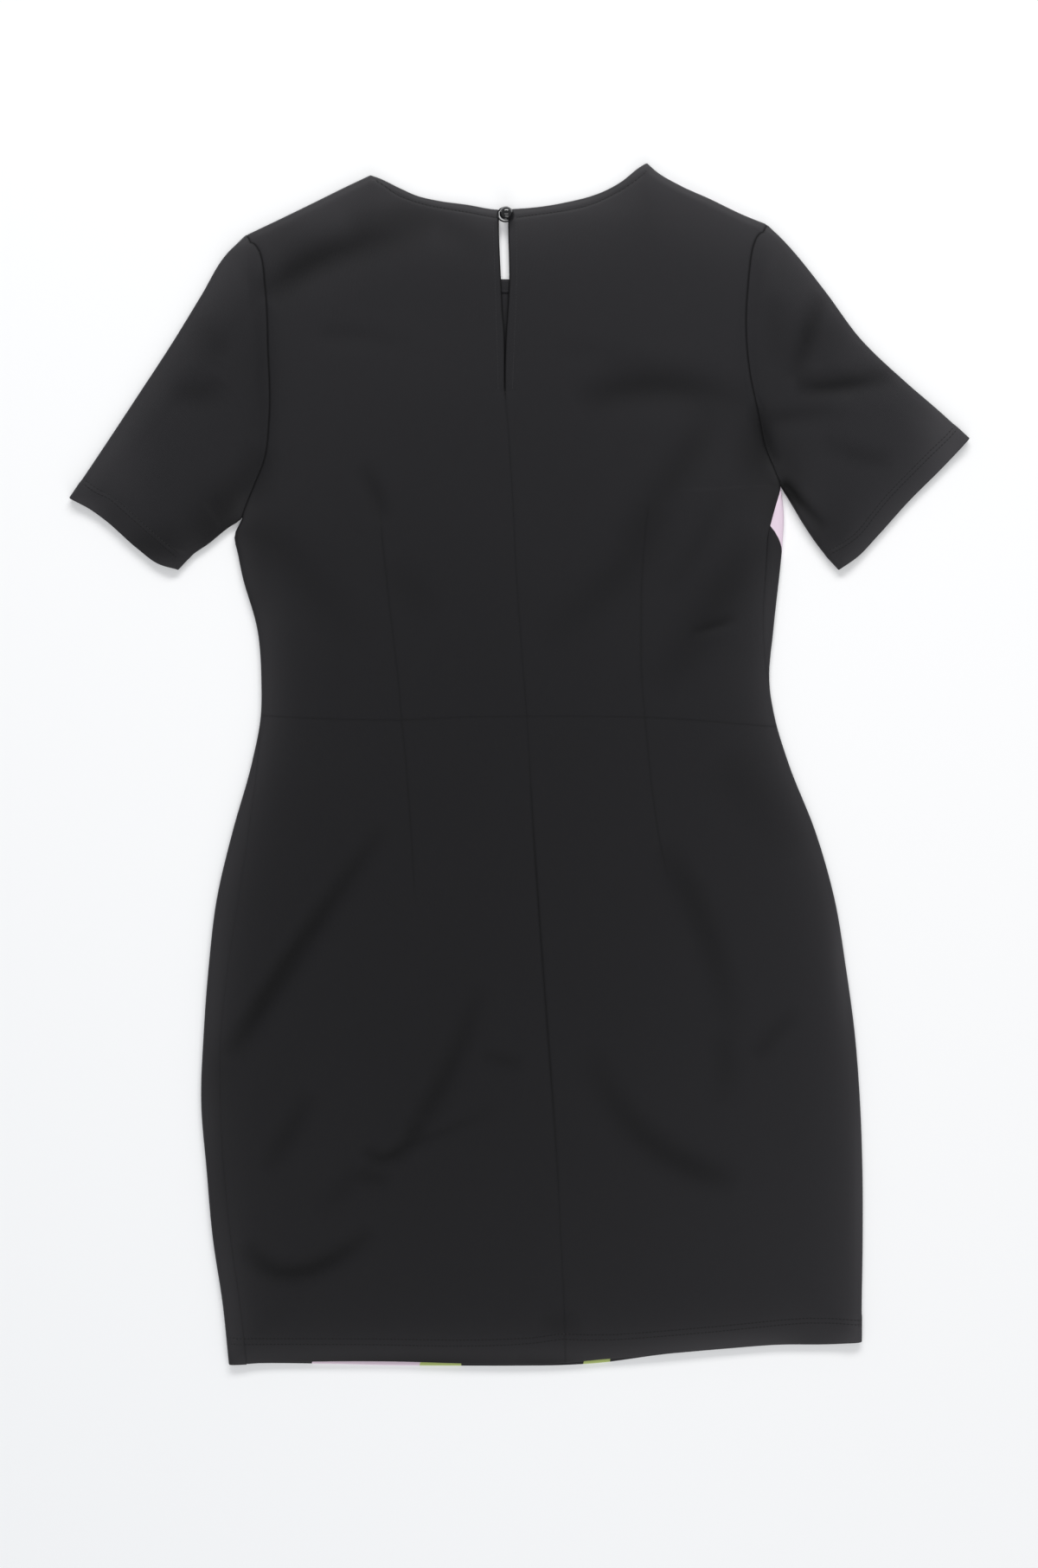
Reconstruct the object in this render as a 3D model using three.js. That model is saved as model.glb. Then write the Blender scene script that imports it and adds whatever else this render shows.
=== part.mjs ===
import * as THREE from 'three';

// A short-sleeved bodycon dress lying flat on a surface with its back upwards.
// Millimetres: x to the right, y towards the neck, z up off the surface.

// Cloth
const wall = 1.2;              // thickness of the double knit
const seamGap = 0.3;           // clearance between two sewn pieces
const lowerLie = wall / 2;     // middle of the layer that lies on the surface
const upperLie = 3.9;          // middle of the upper layer
const lowestLie = 2.3;         // how deep a fold may press the upper layer
const rollRadius = 3;          // how far a folded side rounds over, seen from above
const rollArc = rollRadius * Math.PI / 2;
const crotchRadius = 1.4;      // the same fold at the armpit, where it starts
const armpitStart = 2;         // where a sleeve's rings start, just above the underarm fold
const crotchGap = 1.3;         // clearance where front, back and sleeve meet at the armpit
const crotchRun = 30;          // length over which the fold opens from there
const crotchShare = 0.17;      // the same, as a part of the sleeve's length
const edgeRise = 1.7;          // springy fullness along the folded sides
const edgeSpread = 15;
const topDrop = 4;             // rounding of the upper layer at shoulder and neck
const topRim = wall + seamGap; // where that rounding ends, just above the lower layer

// Grid of the panels
const skirtRows = 28;
const midriffRows = 9;
const yokeRows = 12;
const dropRows = 3;
const sideColumns = 7;         // side seam to dart
const centreColumns = 5;       // dart to centre back
const frontSideColumns = 7;    // side seam round the folded edge to below the dart
const frontMiddleColumns = 6;
const sleeveRings = 10;
const ringCrowding = 1.25;     // rings and yoke rows stand closer together near the armpit
const columnLength = 20;       // length that counts as one column on flat cloth
const columnTurns = 3;         // columns spent on each folded edge
const crownSharing = 1.4;      // the lower yoke rows stay straighter than the neckline
const probe = 0.05;            // small steps for finding which way a surface faces
const rowProbe = 0.001;

// Sections of the body from hem to armpit: height, left and right edge, and how far each side
// seam lies in from its edge (negative is on the underside)
const bodySections = [
  { y: -444, left: -215.0, right: 253.0, leftSeam: 14.5, rightSeam: -8.0 },
  { y: -400, left: -219.5, right: 253.3, leftSeam: 14.0, rightSeam: -8.0 },
  { y: -350, left: -227.0, right: 254.0, leftSeam: 14.5, rightSeam: -8.0 },
  { y: -300, left: -231.5, right: 253.8, leftSeam: 14.0, rightSeam: -8.0 },
  { y: -250, left: -235.5, right: 252.0, leftSeam: 15.5, rightSeam: -8.0 },
  { y: -200, left: -233.7, right: 248.2, leftSeam: 14.0, rightSeam: -8.0 },
  { y: -150, left: -230.0, right: 241.5, leftSeam: 15.5, rightSeam: -8.0 },
  { y: -100, left: -224.0, right: 233.2, leftSeam: 17.0, rightSeam: -7.5 },
  { y: -50, left: -212.3, right: 219.0, leftSeam: 13.0, rightSeam: -7.0 },
  { y: 0, left: -198.2, right: 199.3, leftSeam: 5.5, rightSeam: -5.5 },
  { y: 35, left: -191.5, right: 188.8, leftSeam: 1.5, rightSeam: -2.5 },
  { y: 60, left: -191.0, right: 185.0, leftSeam: 1.0, rightSeam: 1.8 },
  { y: 100, left: -194.0, right: 188.0, leftSeam: 2.2, rightSeam: 9.0 },
  { y: 140, left: -205.2, right: 192.4, leftSeam: 2.4, rightSeam: 11.8 },
  { y: 155, left: -208.2, right: 194.0, leftSeam: 2.2, rightSeam: 12.4 },
  { y: 170, left: -210.6, right: 195.1, leftSeam: 1.8, rightSeam: 12.5 },
  { y: 180, left: -206.0, right: 195.7, leftSeam: 1.2, rightSeam: 10.5 },
  { y: 205, left: -198.0, right: 193.6, leftSeam: 1.2, rightSeam: 1.2 },
];

// Lines of the pattern over the same heights: the centre back and the two dart lines
const patternLines = [
  { y: -444, centre: 34.0, leftDart: -66.0, rightDart: 132.0 },
  { y: -400, centre: 33.0, leftDart: -67.0, rightDart: 130.0 },
  { y: -350, centre: 30.5, leftDart: -68.5, rightDart: 128.0 },
  { y: -300, centre: 28.0, leftDart: -70.0, rightDart: 126.0 },
  { y: -250, centre: 24.7, leftDart: -71.5, rightDart: 124.0 },
  { y: -200, centre: 21.0, leftDart: -73.0, rightDart: 122.0 },
  { y: -150, centre: 17.3, leftDart: -75.0, rightDart: 119.0 },
  { y: -100, centre: 13.7, leftDart: -77.3, rightDart: 113.0 },
  { y: -50, centre: 10.3, leftDart: -80.3, rightDart: 102.5 },
  { y: 0, centre: 7.4, leftDart: -84.0, rightDart: 96.0 },
  { y: 35, centre: 5.4, leftDart: -87.4, rightDart: 92.8 },
  { y: 60, centre: 3.5, leftDart: -89.5, rightDart: 90.6 },
  { y: 100, centre: 0.5, leftDart: -94.2, rightDart: 90.0 },
  { y: 140, centre: -2.3, leftDart: -98.8, rightDart: 90.7 },
  { y: 155, centre: -3.1, leftDart: -100.3, rightDart: 91.7 },
  { y: 170, centre: -3.8, leftDart: -101.8, rightDart: 93.0 },
  { y: 180, centre: -4.2, leftDart: -102.6, rightDart: 94.0 },
  { y: 205, centre: -5.5, leftDart: -104.4, rightDart: 97.0 },
];

// Centre back from armpit height up to the neck: the two edges of the slit part above the bartack
const slitSections = [
  { y: 205, left: -5.5, right: -5.5 },
  { y: 251, left: -8.6, right: -8.6 },
  { y: 274, left: -10.6, right: -10.6 },
  { y: 309, left: -11.0, right: -10.3 },
  { y: 322, left: -11.4, right: -9.7 },
  { y: 335, left: -12.5, right: -8.6 },
  { y: 347, left: -13.1, right: -7.6 },
  { y: 358, left: -13.8, right: -6.7 },
  { y: 373, left: -14.1, right: -6.7 },
  { y: 390, left: -15.0, right: -7.5 },
  { y: 412, left: -15.0, right: -7.6 },
];

// Lines from the bodice darts up to the two ends of the neckline
const yokeLines = [
  { y: 205, leftDart: -104.4, rightDart: 97.0 },
  { y: 300, leftDart: -107.2, rightDart: 96.0 },
  { y: 400, leftDart: -109.5, rightDart: 95.0 },
  { y: 446, leftDart: -110.4, rightDart: 94.4 },
];

// Cross seams and open edges: height at each place across
const backHem = [
  { x: -215, y: -444.2 }, { x: -192, y: -442.9 }, { x: -141, y: -441.6 }, { x: -96, y: -441.6 },
  { x: -43, y: -443.0 }, { x: 0, y: -443.6 }, { x: 34, y: -442.6 }, { x: 60, y: -440.2 },
  { x: 102, y: -436.5 }, { x: 150, y: -432.4 }, { x: 192, y: -429.3 }, { x: 230, y: -428.9 },
  { x: 253, y: -427.5 },
];
const frontHem = [
  { x: -215, y: -444.2 }, { x: -192, y: -443.6 }, { x: -141, y: -444.0 }, { x: -96, y: -445.0 },
  { x: -43, y: -445.4 }, { x: 0, y: -445.4 }, { x: 34, y: -444.9 }, { x: 60, y: -443.2 },
  { x: 102, y: -437.6 }, { x: 150, y: -432.4 }, { x: 192, y: -429.3 }, { x: 230, y: -428.9 },
  { x: 253, y: -427.5 },
];
const waist = [
  { x: -191, y: 35.8 }, { x: -141, y: 33.3 }, { x: -87, y: 32.6 }, { x: -41, y: 34.6 },
  { x: 5, y: 35.2 }, { x: 51, y: 35.2 }, { x: 93, y: 34.4 }, { x: 136, y: 32.0 },
  { x: 166, y: 29.4 }, { x: 189, y: 27.5 },
];
const leftShoulder = [
  { x: -202, y: 391.7 }, { x: -179, y: 402.6 }, { x: -154, y: 414.7 }, { x: -128, y: 427.5 },
  { x: -110.4, y: 435.8 },
];
const rightShoulder = [
  { x: 94.4, y: 444.8 }, { x: 100, y: 439.7 }, { x: 118, y: 428.8 }, { x: 140.5, y: 418.6 },
  { x: 166, y: 406.4 }, { x: 183.4, y: 399.4 },
];
const backNeck = [
  { x: -110.4, y: 435.8 }, { x: -104, y: 433.6 }, { x: -90, y: 426.9 }, { x: -77, y: 421.1 },
  { x: -60, y: 417.0 }, { x: -39, y: 414.1 }, { x: -15, y: 410.4 }, { x: -3.5, y: 411.0 },
  { x: 12, y: 412.2 }, { x: 38, y: 416.6 }, { x: 51, y: 419.8 }, { x: 64, y: 424.6 },
  { x: 77, y: 432.0 }, { x: 89, y: 441.6 }, { x: 94.4, y: 444.8 },
];
const frontNeck = [
  { x: -110.4, y: 435.8 }, { x: -97, y: 407.0 }, { x: -77, y: 384.0 }, { x: -46, y: 366.0 },
  { x: -10, y: 358.4 }, { x: 26, y: 365.0 }, { x: 59, y: 385.0 }, { x: 80, y: 413.0 },
  { x: 94.4, y: 444.8 },
];

// Armholes from armpit to shoulder
const leftArmhole = [
  { x: -205.8, y: 180.8 }, { x: -203.2, y: 188.8 }, { x: -196.2, y: 206.7 }, { x: -189.1, y: 224.6 },
  { x: -185.3, y: 255.0 }, { x: -186.2, y: 309.1 }, { x: -187.6, y: 344.3 }, { x: -191.0, y: 369.0 },
  { x: -196.5, y: 381.5 }, { x: -202.0, y: 391.7 },
];
const rightArmhole = [
  { x: 193.6, y: 205.4 }, { x: 186.6, y: 222.7 }, { x: 182.5, y: 233.0 }, { x: 177.0, y: 259.0 },
  { x: 170.5, y: 290.0 }, { x: 167.7, y: 325.1 }, { x: 168.8, y: 350.0 }, { x: 172.5, y: 376.3 },
  { x: 178.0, y: 389.1 }, { x: 183.4, y: 399.4 },
];

// Sleeves: the folded outer edge from shoulder to cuff, the cuff from there to the underarm, and
// the underarm fold from armpit to cuff
const leftSleeve = {
  outer: [
    { x: -202.0, y: 391.7 }, { x: -217.4, y: 376.3 }, { x: -235.6, y: 346.2 }, { x: -257.2, y: 311.0 },
    { x: -282.5, y: 272.4 }, { x: -308.2, y: 233.5 }, { x: -333.0, y: 196.5 },
  ],
  cuff: [
    { x: -333.0, y: 196.5 }, { x: -318.4, y: 188.8 }, { x: -307.5, y: 181.1 }, { x: -281.9, y: 158.7 },
    { x: -268.0, y: 148.4 }, { x: -252.8, y: 143.8 },
  ],
  under: [
    { x: -205.8, y: 180.8 }, { x: -214.7, y: 175.4 }, { x: -230.7, y: 162.6 }, { x: -242.2, y: 154.6 },
    { x: -252.8, y: 143.8 },
  ],
};
const rightSleeve = {
  outer: [
    { x: 183.4, y: 399.4 }, { x: 199.3, y: 383.0 }, { x: 226.2, y: 349.7 }, { x: 251.8, y: 315.2 },
    { x: 286.0, y: 282.4 }, { x: 311.4, y: 260.4 }, { x: 333.0, y: 240.6 },
  ],
  cuff: [
    { x: 333.0, y: 240.6 }, { x: 326.1, y: 233.0 }, { x: 313.3, y: 219.5 }, { x: 287.7, y: 193.9 },
    { x: 265.3, y: 169.0 }, { x: 250.0, y: 153.0 }, { x: 236.5, y: 143.6 },
  ],
  under: [
    { x: 193.6, y: 205.4 }, { x: 201.2, y: 193.0 }, { x: 210.2, y: 177.6 }, { x: 225.0, y: 156.3 },
    { x: 236.5, y: 143.6 },
  ],
};

// The largest folds of the upper layer: a soft trough from one point by way of a second to a third
const folds = [
  { from: [-183, 357], by: [-140, 380], to: [-95, 402], width: 12, depth: 1.5 },    // left shoulder
  { from: [-95, 402], by: [-60, 401], to: [-26, 383], width: 12, depth: 0.7 },      // on towards the neck
  { from: [51, 290], by: [110, 289], to: [160, 277], width: 13, depth: 0.9 },       // right shoulder blade
  { from: [124, 234], by: [84, 166], to: [38, 108], width: 17, depth: 0.9 },        // across the right back
  { from: [166, 151], by: [128, 97], to: [121, 66], width: 11, depth: 0.9 },        // right waist
  { from: [-196, 163], by: [-164, 146], to: [-131, 123], width: 11, depth: 1.0 },   // left armpit
  { from: [-213, -213], by: [-162, -130], to: [-112, -56], width: 11, depth: 1.6 }, // long left skirt fold
  { from: [-115, -287], by: [-60, -238], to: [-29, -164], width: 12, depth: 1.2 },  // middle left
  { from: [-195, -366], by: [-160, -381], to: [-121, -354], width: 11, depth: 1.3 }, // lower left crescent
  { from: [50, -207], by: [98, -266], to: [160, -297], width: 13, depth: 1.2 },     // lower right
  { from: [117, -88], by: [147, -142], to: [155, -204], width: 16, depth: 0.8 },    // right hip
  { from: [228, 331], by: [214, 308], to: [203, 285], width: 10, depth: 0.9 },      // right sleeve head
  { from: [219, 279], by: [250, 280], to: [280, 279], width: 10, depth: 0.9 },      // across the right sleeve
  { from: [-236, 300], by: [-243, 280], to: [-240, 258], width: 12, depth: 0.7 },   // left sleeve
];

// Button and its loop
const button = { x: -9.8, y: 406.2, z: 8.6, radius: 5, shankRadius: 1.2, shankEnd: 1.9 };
const loop = { x: -10.6, y: 406.2, z: 5.6, halfLength: 6.4, halfWidth: 5.7, radius: 0.7 };

// Strip stitched inside the front neckline, between two places across
const facing = { from: -64, to: 44, width: 9, wall: 1.0, columns: 12 };

// Smooth curve through the rows of a table: one column against another
function curve(rows, along, value) {
  const k = rows.map((row) => row[along]);
  const v = rows.map((row) => row[value]);
  const last = k.length - 1;
  const step = (i) => (v[i + 1] - v[i]) / (k[i + 1] - k[i]);
  const slope = (i) => {
    if (i === 0) return step(0);
    if (i === last) return step(last - 1);
    const before = k[i] - k[i - 1];
    const after = k[i + 1] - k[i];
    return (step(i - 1) * after + step(i) * before) / (before + after);
  };
  return (at) => {
    let i = 0;
    while (i < last - 1 && at > k[i + 1]) i += 1;
    const span = k[i + 1] - k[i];
    const t = Math.min(Math.max((at - k[i]) / span, 0), 1);
    const u = 1 - t;
    return v[i] * (1 + 2 * t) * u * u + slope(i) * span * t * u * u
      + v[i + 1] * t * t * (3 - 2 * t) - slope(i + 1) * span * t * t * u;
  };
}

// Smooth path through the rows of a table, from 0 at the first to 1 at the last
function path(rows) {
  let run = 0;
  const marked = rows.map((row, i) => {
    if (i > 0) run += Math.hypot(row.x - rows[i - 1].x, row.y - rows[i - 1].y);
    return { ...row, run };
  });
  const x = curve(marked, 'run', 'x');
  const y = curve(marked, 'run', 'y');
  return { length: run, at: (t) => ({ x: x(t * run), y: y(t * run) }) };
}

const mix = (a, b, t) => a + (b - a) * t;
const edgeLeft = curve(bodySections, 'y', 'left');
const edgeRight = curve(bodySections, 'y', 'right');
const seamLeft = curve(bodySections, 'y', 'leftSeam');
const seamRight = curve(bodySections, 'y', 'rightSeam');
const centreLow = curve(patternLines, 'y', 'centre');
const dartLeftLow = curve(patternLines, 'y', 'leftDart');
const dartRightLow = curve(patternLines, 'y', 'rightDart');
const slitLeft = curve(slitSections, 'y', 'left');
const slitRight = curve(slitSections, 'y', 'right');
const dartLeftHigh = curve(yokeLines, 'y', 'leftDart');
const dartRightHigh = curve(yokeLines, 'y', 'rightDart');
const yokeStart = 205;
const lines = {
  leftDart: (y) => (y < yokeStart ? dartLeftLow(y) : dartLeftHigh(y)),
  rightDart: (y) => (y < yokeStart ? dartRightLow(y) : dartRightHigh(y)),
  centreLeft: (y) => (y < yokeStart ? centreLow(y) : slitLeft(y)),
  centreRight: (y) => (y < yokeStart ? centreLow(y) : slitRight(y)),
};

const hemBackY = curve(backHem, 'x', 'y');
const hemFrontY = curve(frontHem, 'x', 'y');
const waistY = curve(waist, 'x', 'y');
const shoulderLeftY = curve(leftShoulder, 'x', 'y');
const shoulderRightY = curve(rightShoulder, 'x', 'y');
const backNeckY = curve(backNeck, 'x', 'y');
const frontNeckY = curve(frontNeck, 'x', 'y');
const neckLeft = backNeck[0].x;
const neckRight = backNeck[backNeck.length - 1].x;
const topY = (neckY) => (x) => {
  if (x < neckLeft) return shoulderLeftY(x);
  return x > neckRight ? shoulderRightY(x) : neckY(x);
};
const topBackY = topY(backNeckY);
const topFrontY = topY(frontNeckY);
const armLeft = path(leftArmhole);
const armRight = path(rightArmhole);

// Distance from a point to a chain of straight steps
function distanceTo(chain, x, y) {
  let least = Infinity;
  for (let i = 1; i < chain.length; i += 1) {
    const a = chain[i - 1];
    const b = chain[i];
    const dx = b.x - a.x;
    const dy = b.y - a.y;
    const t = Math.min(Math.max(((x - a.x) * dx + (y - a.y) * dy) / (dx * dx + dy * dy), 0), 1);
    least = Math.min(least, Math.hypot(x - a.x - t * dx, y - a.y - t * dy));
  }
  return least;
}

// Folded outlines, where the cloth turns from the upper to the lower layer
const armpitLeftY = leftArmhole[0].y;
const armpitRightY = rightArmhole[0].y;
const sideChain = (edge, top) => bodySections.filter((row) => row.y < top)
  .map((row) => ({ x: edge(row.y), y: row.y })).concat({ x: edge(top), y: top });
const foldedOutlines = [
  sideChain(edgeLeft, armpitLeftY), sideChain(edgeRight, armpitRightY), leftShoulder, rightShoulder,
  leftSleeve.outer, leftSleeve.under, rightSleeve.outer, rightSleeve.under,
];

// Each fold as a chain along the bend through its three points
const foldSteps = 8;
const foldChains = folds.map(({ from, by, to, width, depth }) => {
  const chain = [];
  for (let i = 0; i <= foldSteps; i += 1) {
    const t = i / foldSteps;
    const a = (1 - t) * (1 - 2 * t);
    const b = 4 * t * (1 - t);
    const c = t * (2 * t - 1);
    chain.push({ x: a * from[0] + b * by[0] + c * to[0], y: a * from[1] + b * by[1] + c * to[1] });
  }
  return { chain, width, depth };
});

// Middle height of the upper layer: flat lie, fullness along folded outlines, troughs of the folds
function lift(x, y) {
  const away = Math.min(...foldedOutlines.map((chain) => distanceTo(chain, x, y)));
  let z = upperLie + edgeRise * Math.exp(-((away / edgeSpread) ** 2));
  foldChains.forEach(({ chain, width, depth }) => {
    z -= depth * Math.exp(-((distanceTo(chain, x, y) / width) ** 2));
  });
  return Math.max(z, lowestLie);
}

// One row across the body: its two ends, and its height at each place between them
function bodyRow(band, t, front) {
  const hemY = front ? hemFrontY : hemBackY;
  const neckY = front ? topFrontY : topBackY;
  const rowEnds = (leftY, rightY) => ({
    left: { x: edgeLeft(leftY) + wall / 2, y: leftY },
    right: { x: edgeRight(rightY) - wall / 2, y: rightY },
  });
  const bow = (edgeY, left, right) => (part) => (
    edgeY(mix(left.x, right.x, part)) - mix(left.y, right.y, part)
  );
  const hemEnds = rowEnds(hemY(backHem[0].x), hemY(backHem[backHem.length - 1].x));
  const waistEnds = rowEnds(waist[0].y, waist[waist.length - 1].y);
  const waistBow = bow(waistY, waistEnds.left, waistEnds.right);
  if (band === 'skirt') {
    const ends = rowEnds(
      mix(hemEnds.left.y, waistEnds.left.y, t),
      mix(hemEnds.right.y, waistEnds.right.y, t),
    );
    const hemBow = bow(hemY, hemEnds.left, hemEnds.right);
    return { ...ends, bow: (part) => mix(hemBow(part), waistBow(part), t) };
  }
  if (band === 'midriff') {
    const ends = rowEnds(
      mix(waistEnds.left.y, armpitLeftY, t),
      mix(waistEnds.right.y, armpitRightY, t),
    );
    return { ...ends, bow: (part) => (1 - t) * waistBow(part) };
  }
  // Yoke: up the armholes as far as the rounding, then over it
  const drop = front ? 0 : topDrop;
  const inset = front ? 0 : wall / 2;
  const turn = Math.min(Math.max(t - 1, 0), 1) * Math.PI / 2;
  const below = inset + drop * (1 - Math.sin(turn));
  const end = (arm) => arm.at(Math.min(t, 1) * (1 - below / arm.length));
  const left = end(armLeft);
  const right = end(armRight);
  const crown = { left: armLeft.at(1), right: armRight.at(1) };
  const crownBow = bow(neckY, crown.left, crown.right);
  const rise = Math.min(t, 1) ** crownSharing;
  const shift = (part) => mix(crown.left.y - left.y, crown.right.y - right.y, part) - below;
  return { left, right, turn, bow: (part) => rise * (crownBow(part) + (t >= 1 ? shift(part) : 0)) };
}

// The fold at the side is tighter near the armpit
const foldRadius = (armpitY, y) => (
  mix(crotchRadius, rollRadius, Math.min((armpitY - y) / crotchRun, 1))
);

// A point of the body's middle surface: a row and the distance along it from the left edge,
// positive over the upper layer and negative under it; past the right edge it runs on underneath
function bodyPoint(band, t, w, front = false) {
  const row = bodyRow(band, t, front);
  const width = row.right.x - row.left.x;
  const place = (x, height) => {
    const part = (x - row.left.x) / width;
    const y = mix(row.left.y, row.right.y, part) + row.bow(part);
    return new THREE.Vector3(x, y, height(x, y));
  };
  if (band === 'yoke') {
    if (w < 0) return place(row.left.x - w, () => lowerLie);
    return place(row.left.x + w, (x, y) => topRim + (lift(x, y) - topRim) * Math.cos(row.turn));
  }
  const leftRadius = foldRadius(armpitLeftY, row.left.y);
  const rightRadius = foldRadius(armpitRightY, row.right.y);
  const along = width + (leftRadius + rightRadius) * (Math.PI / 2 - 1);
  const upper = w >= 0 && w <= along;
  const s = upper ? w : (w < 0 ? -w : 2 * along - w);
  const leftArc = leftRadius * Math.PI / 2;
  const rightArc = rightRadius * Math.PI / 2;
  let x = row.left.x + leftRadius + s - leftArc;
  let turn = Math.PI / 2;
  if (s < leftArc) {
    turn = s / leftRadius;
    x = row.left.x + leftRadius * (1 - Math.cos(turn));
  } else if (s > along - rightArc) {
    turn = (along - s) / rightRadius;
    x = row.right.x - rightRadius * (1 - Math.cos(turn));
  }
  const share = (1 + (upper ? 1 : -1) * Math.sin(turn)) / 2;
  return place(x, (px, py) => lowerLie + (lift(px, py) - lowerLie) * share);
}

// Where a line of the pattern crosses a row, as a distance along the row
function crossing(band, t, line, front = false) {
  const row = bodyRow(band, t, front);
  const width = row.right.x - row.left.x;
  let x = line((row.left.y + row.right.y) / 2);
  for (let i = 0; i < 6; i += 1) {
    const part = (x - row.left.x) / width;
    x = line(mix(row.left.y, row.right.y, part) + row.bow(part));
  }
  return x - row.left.x + (band === 'yoke' ? 0 : rollArc - rollRadius);
}

// Length of a row of the upper layer from one folded edge to the other
const rowLength = (band, t) => {
  const row = bodyRow(band, t, false);
  if (band === 'yoke') return row.right.x - row.left.x;
  const radii = foldRadius(armpitLeftY, row.left.y) + foldRadius(armpitRightY, row.right.y);
  return row.right.x - row.left.x + radii * (Math.PI / 2 - 1);
};

// Places from one distance to another, closer together round a folded edge
function spread(from, to, count, folded) {
  const steps = 160;
  const density = (w) => {
    const near = Math.min(...folded.map((edge) => Math.abs(w - edge)));
    return 1 / columnLength + (near < rollArc ? columnTurns / (2 * rollArc) : 0);
  };
  const sum = [0];
  for (let i = 1; i <= steps; i += 1) sum.push(sum[i - 1] + density(mix(from, to, (i - 0.5) / steps)));
  const places = [];
  let i = 0;
  for (let n = 0; n <= count; n += 1) {
    const want = sum[steps] * n / count;
    while (i < steps - 1 && sum[i + 1] < want) i += 1;
    places.push(mix(from, to, (i + (want - sum[i]) / (sum[i + 1] - sum[i])) / steps));
  }
  places[0] = from;
  places[count] = to;
  return places;
}

// Point and outward direction of a surface given by two numbers
function sample(surface, t, w, dt) {
  const along = surface(t, w + probe).sub(surface(t, w - probe));
  const across = surface(t + dt, w).sub(surface(t, w)).multiplyScalar(Math.sign(dt));
  return { point: surface(t, w), out: along.cross(across).normalize() };
}

// Closed solid from a grid of points and directions: an outer and an inner skin and its rims
function panel(grid, thickness, ring = false) {
  const rows = grid.length;
  const columns = grid[0].length;
  const position = [];
  [thickness / 2, -thickness / 2].forEach((offset) => {
    grid.forEach((row) => row.forEach(({ point, out }) => {
      const p = point.clone().addScaledVector(out, offset);
      position.push(p.x, p.y, Math.max(p.z, 0));
    }));
  });
  const skin = rows * columns;
  const index = [];
  const quad = (a, b, c, d) => index.push(a, b, c, a, c, d);
  const at = (j, i) => j * columns + (i % columns);
  const spans = ring ? columns : columns - 1;
  const height = (corner) => position[corner * 3 + 2];
  for (let j = 0; j < rows - 1; j += 1) {
    for (let i = 0; i < spans; i += 1) {
      const a = at(j, i);
      const b = at(j, i + 1);
      const c = at(j + 1, i + 1);
      const d = at(j + 1, i);
      // Each square is split along its more level diagonal, so that folds stay smooth
      if (Math.abs(height(a) - height(c)) <= Math.abs(height(b) - height(d))) {
        quad(a, b, c, d);
        quad(skin + a, skin + d, skin + c, skin + b);
      } else {
        quad(b, c, d, a);
        quad(skin + d, skin + c, skin + b, skin + a);
      }
    }
  }
  const rim = (a, b) => quad(a, skin + a, skin + b, b);
  for (let i = 0; i < spans; i += 1) {
    rim(at(0, i), at(0, i + 1));
    rim(at(rows - 1, i + 1), at(rows - 1, i));
  }
  if (!ring) {
    for (let j = 0; j < rows - 1; j += 1) {
      rim(at(j + 1, 0), at(j, 0));
      rim(at(j, columns - 1), at(j + 1, columns - 1));
    }
  }
  const geometry = new THREE.BufferGeometry();
  geometry.setAttribute('position', new THREE.Float32BufferAttribute(position, 3));
  geometry.setIndex(index);
  const a = new THREE.Vector3();
  const b = new THREE.Vector3();
  const c = new THREE.Vector3();
  let volume = 0;
  for (let k = 0; k < index.length; k += 3) {
    a.fromArray(position, index[k] * 3);
    b.fromArray(position, index[k + 1] * 3);
    c.fromArray(position, index[k + 2] * 3);
    volume += a.dot(b.cross(c));
  }
  if (volume < 0) geometry.setIndex(index.map((_, k) => index[k - (k % 3) + 2 - (k % 3)]));
  geometry.computeVertexNormals();
  return geometry;
}

const half = seamGap / 2;
const rowsOf = (band, count, from, to, crowding = 1) => Array.from({ length: count + 1 }, (_, j) => ({
  band, t: mix(from, to, (j / count) ** crowding), dt: j < count ? rowProbe : -rowProbe,
}));
const skirtShare = half / (waist[0].y - backHem[0].y);
const midriffShare = half / (armpitLeftY - waist[0].y);
const upperEnd = (row) => ({
  left: row.band === 'yoke' ? half : seamLeft(bodyRow(row.band, row.t).left.y) + half,
  right: rowLength(row.band, row.t)
    - (row.band === 'yoke' ? half : seamRight(bodyRow(row.band, row.t).right.y) + half),
});

// Grid of one back panel between its side seam and the centre back
function backGrid(rows, left) {
  return rows.map((row) => {
    const { band, t, dt } = row;
    const ends = upperEnd(row);
    const length = rowLength(band, t);
    const surface = (at, w) => bodyPoint(band, at, w);
    const dart = crossing(band, t, left ? lines.leftDart : lines.rightDart);
    const centre = crossing(band, t, left ? lines.centreLeft : lines.centreRight)
      + (left ? -half : half);
    const folded = band === 'yoke' ? [-rollArc * 2] : [0, length];
    const side = left
      ? spread(ends.left, dart, sideColumns, folded)
      : spread(dart, ends.right, sideColumns, folded);
    const middle = left
      ? spread(dart, centre, centreColumns, folded)
      : spread(centre, dart, centreColumns, folded);
    const places = left ? side.concat(middle.slice(1)) : middle.concat(side.slice(1));
    return places.map((w) => sample(surface, t, w, dt));
  });
}

const skirtBackRows = rowsOf('skirt', skirtRows, 0, 1 - skirtShare);
const midriffBackRows = rowsOf('midriff', midriffRows, midriffShare, 1);
const yokeBackRows = rowsOf('yoke', yokeRows, 0, 1, ringCrowding).slice(1)
  .concat(rowsOf('yoke', dropRows, 1, 2).slice(1));
const bodiceBackRows = midriffBackRows.concat(yokeBackRows);

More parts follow.
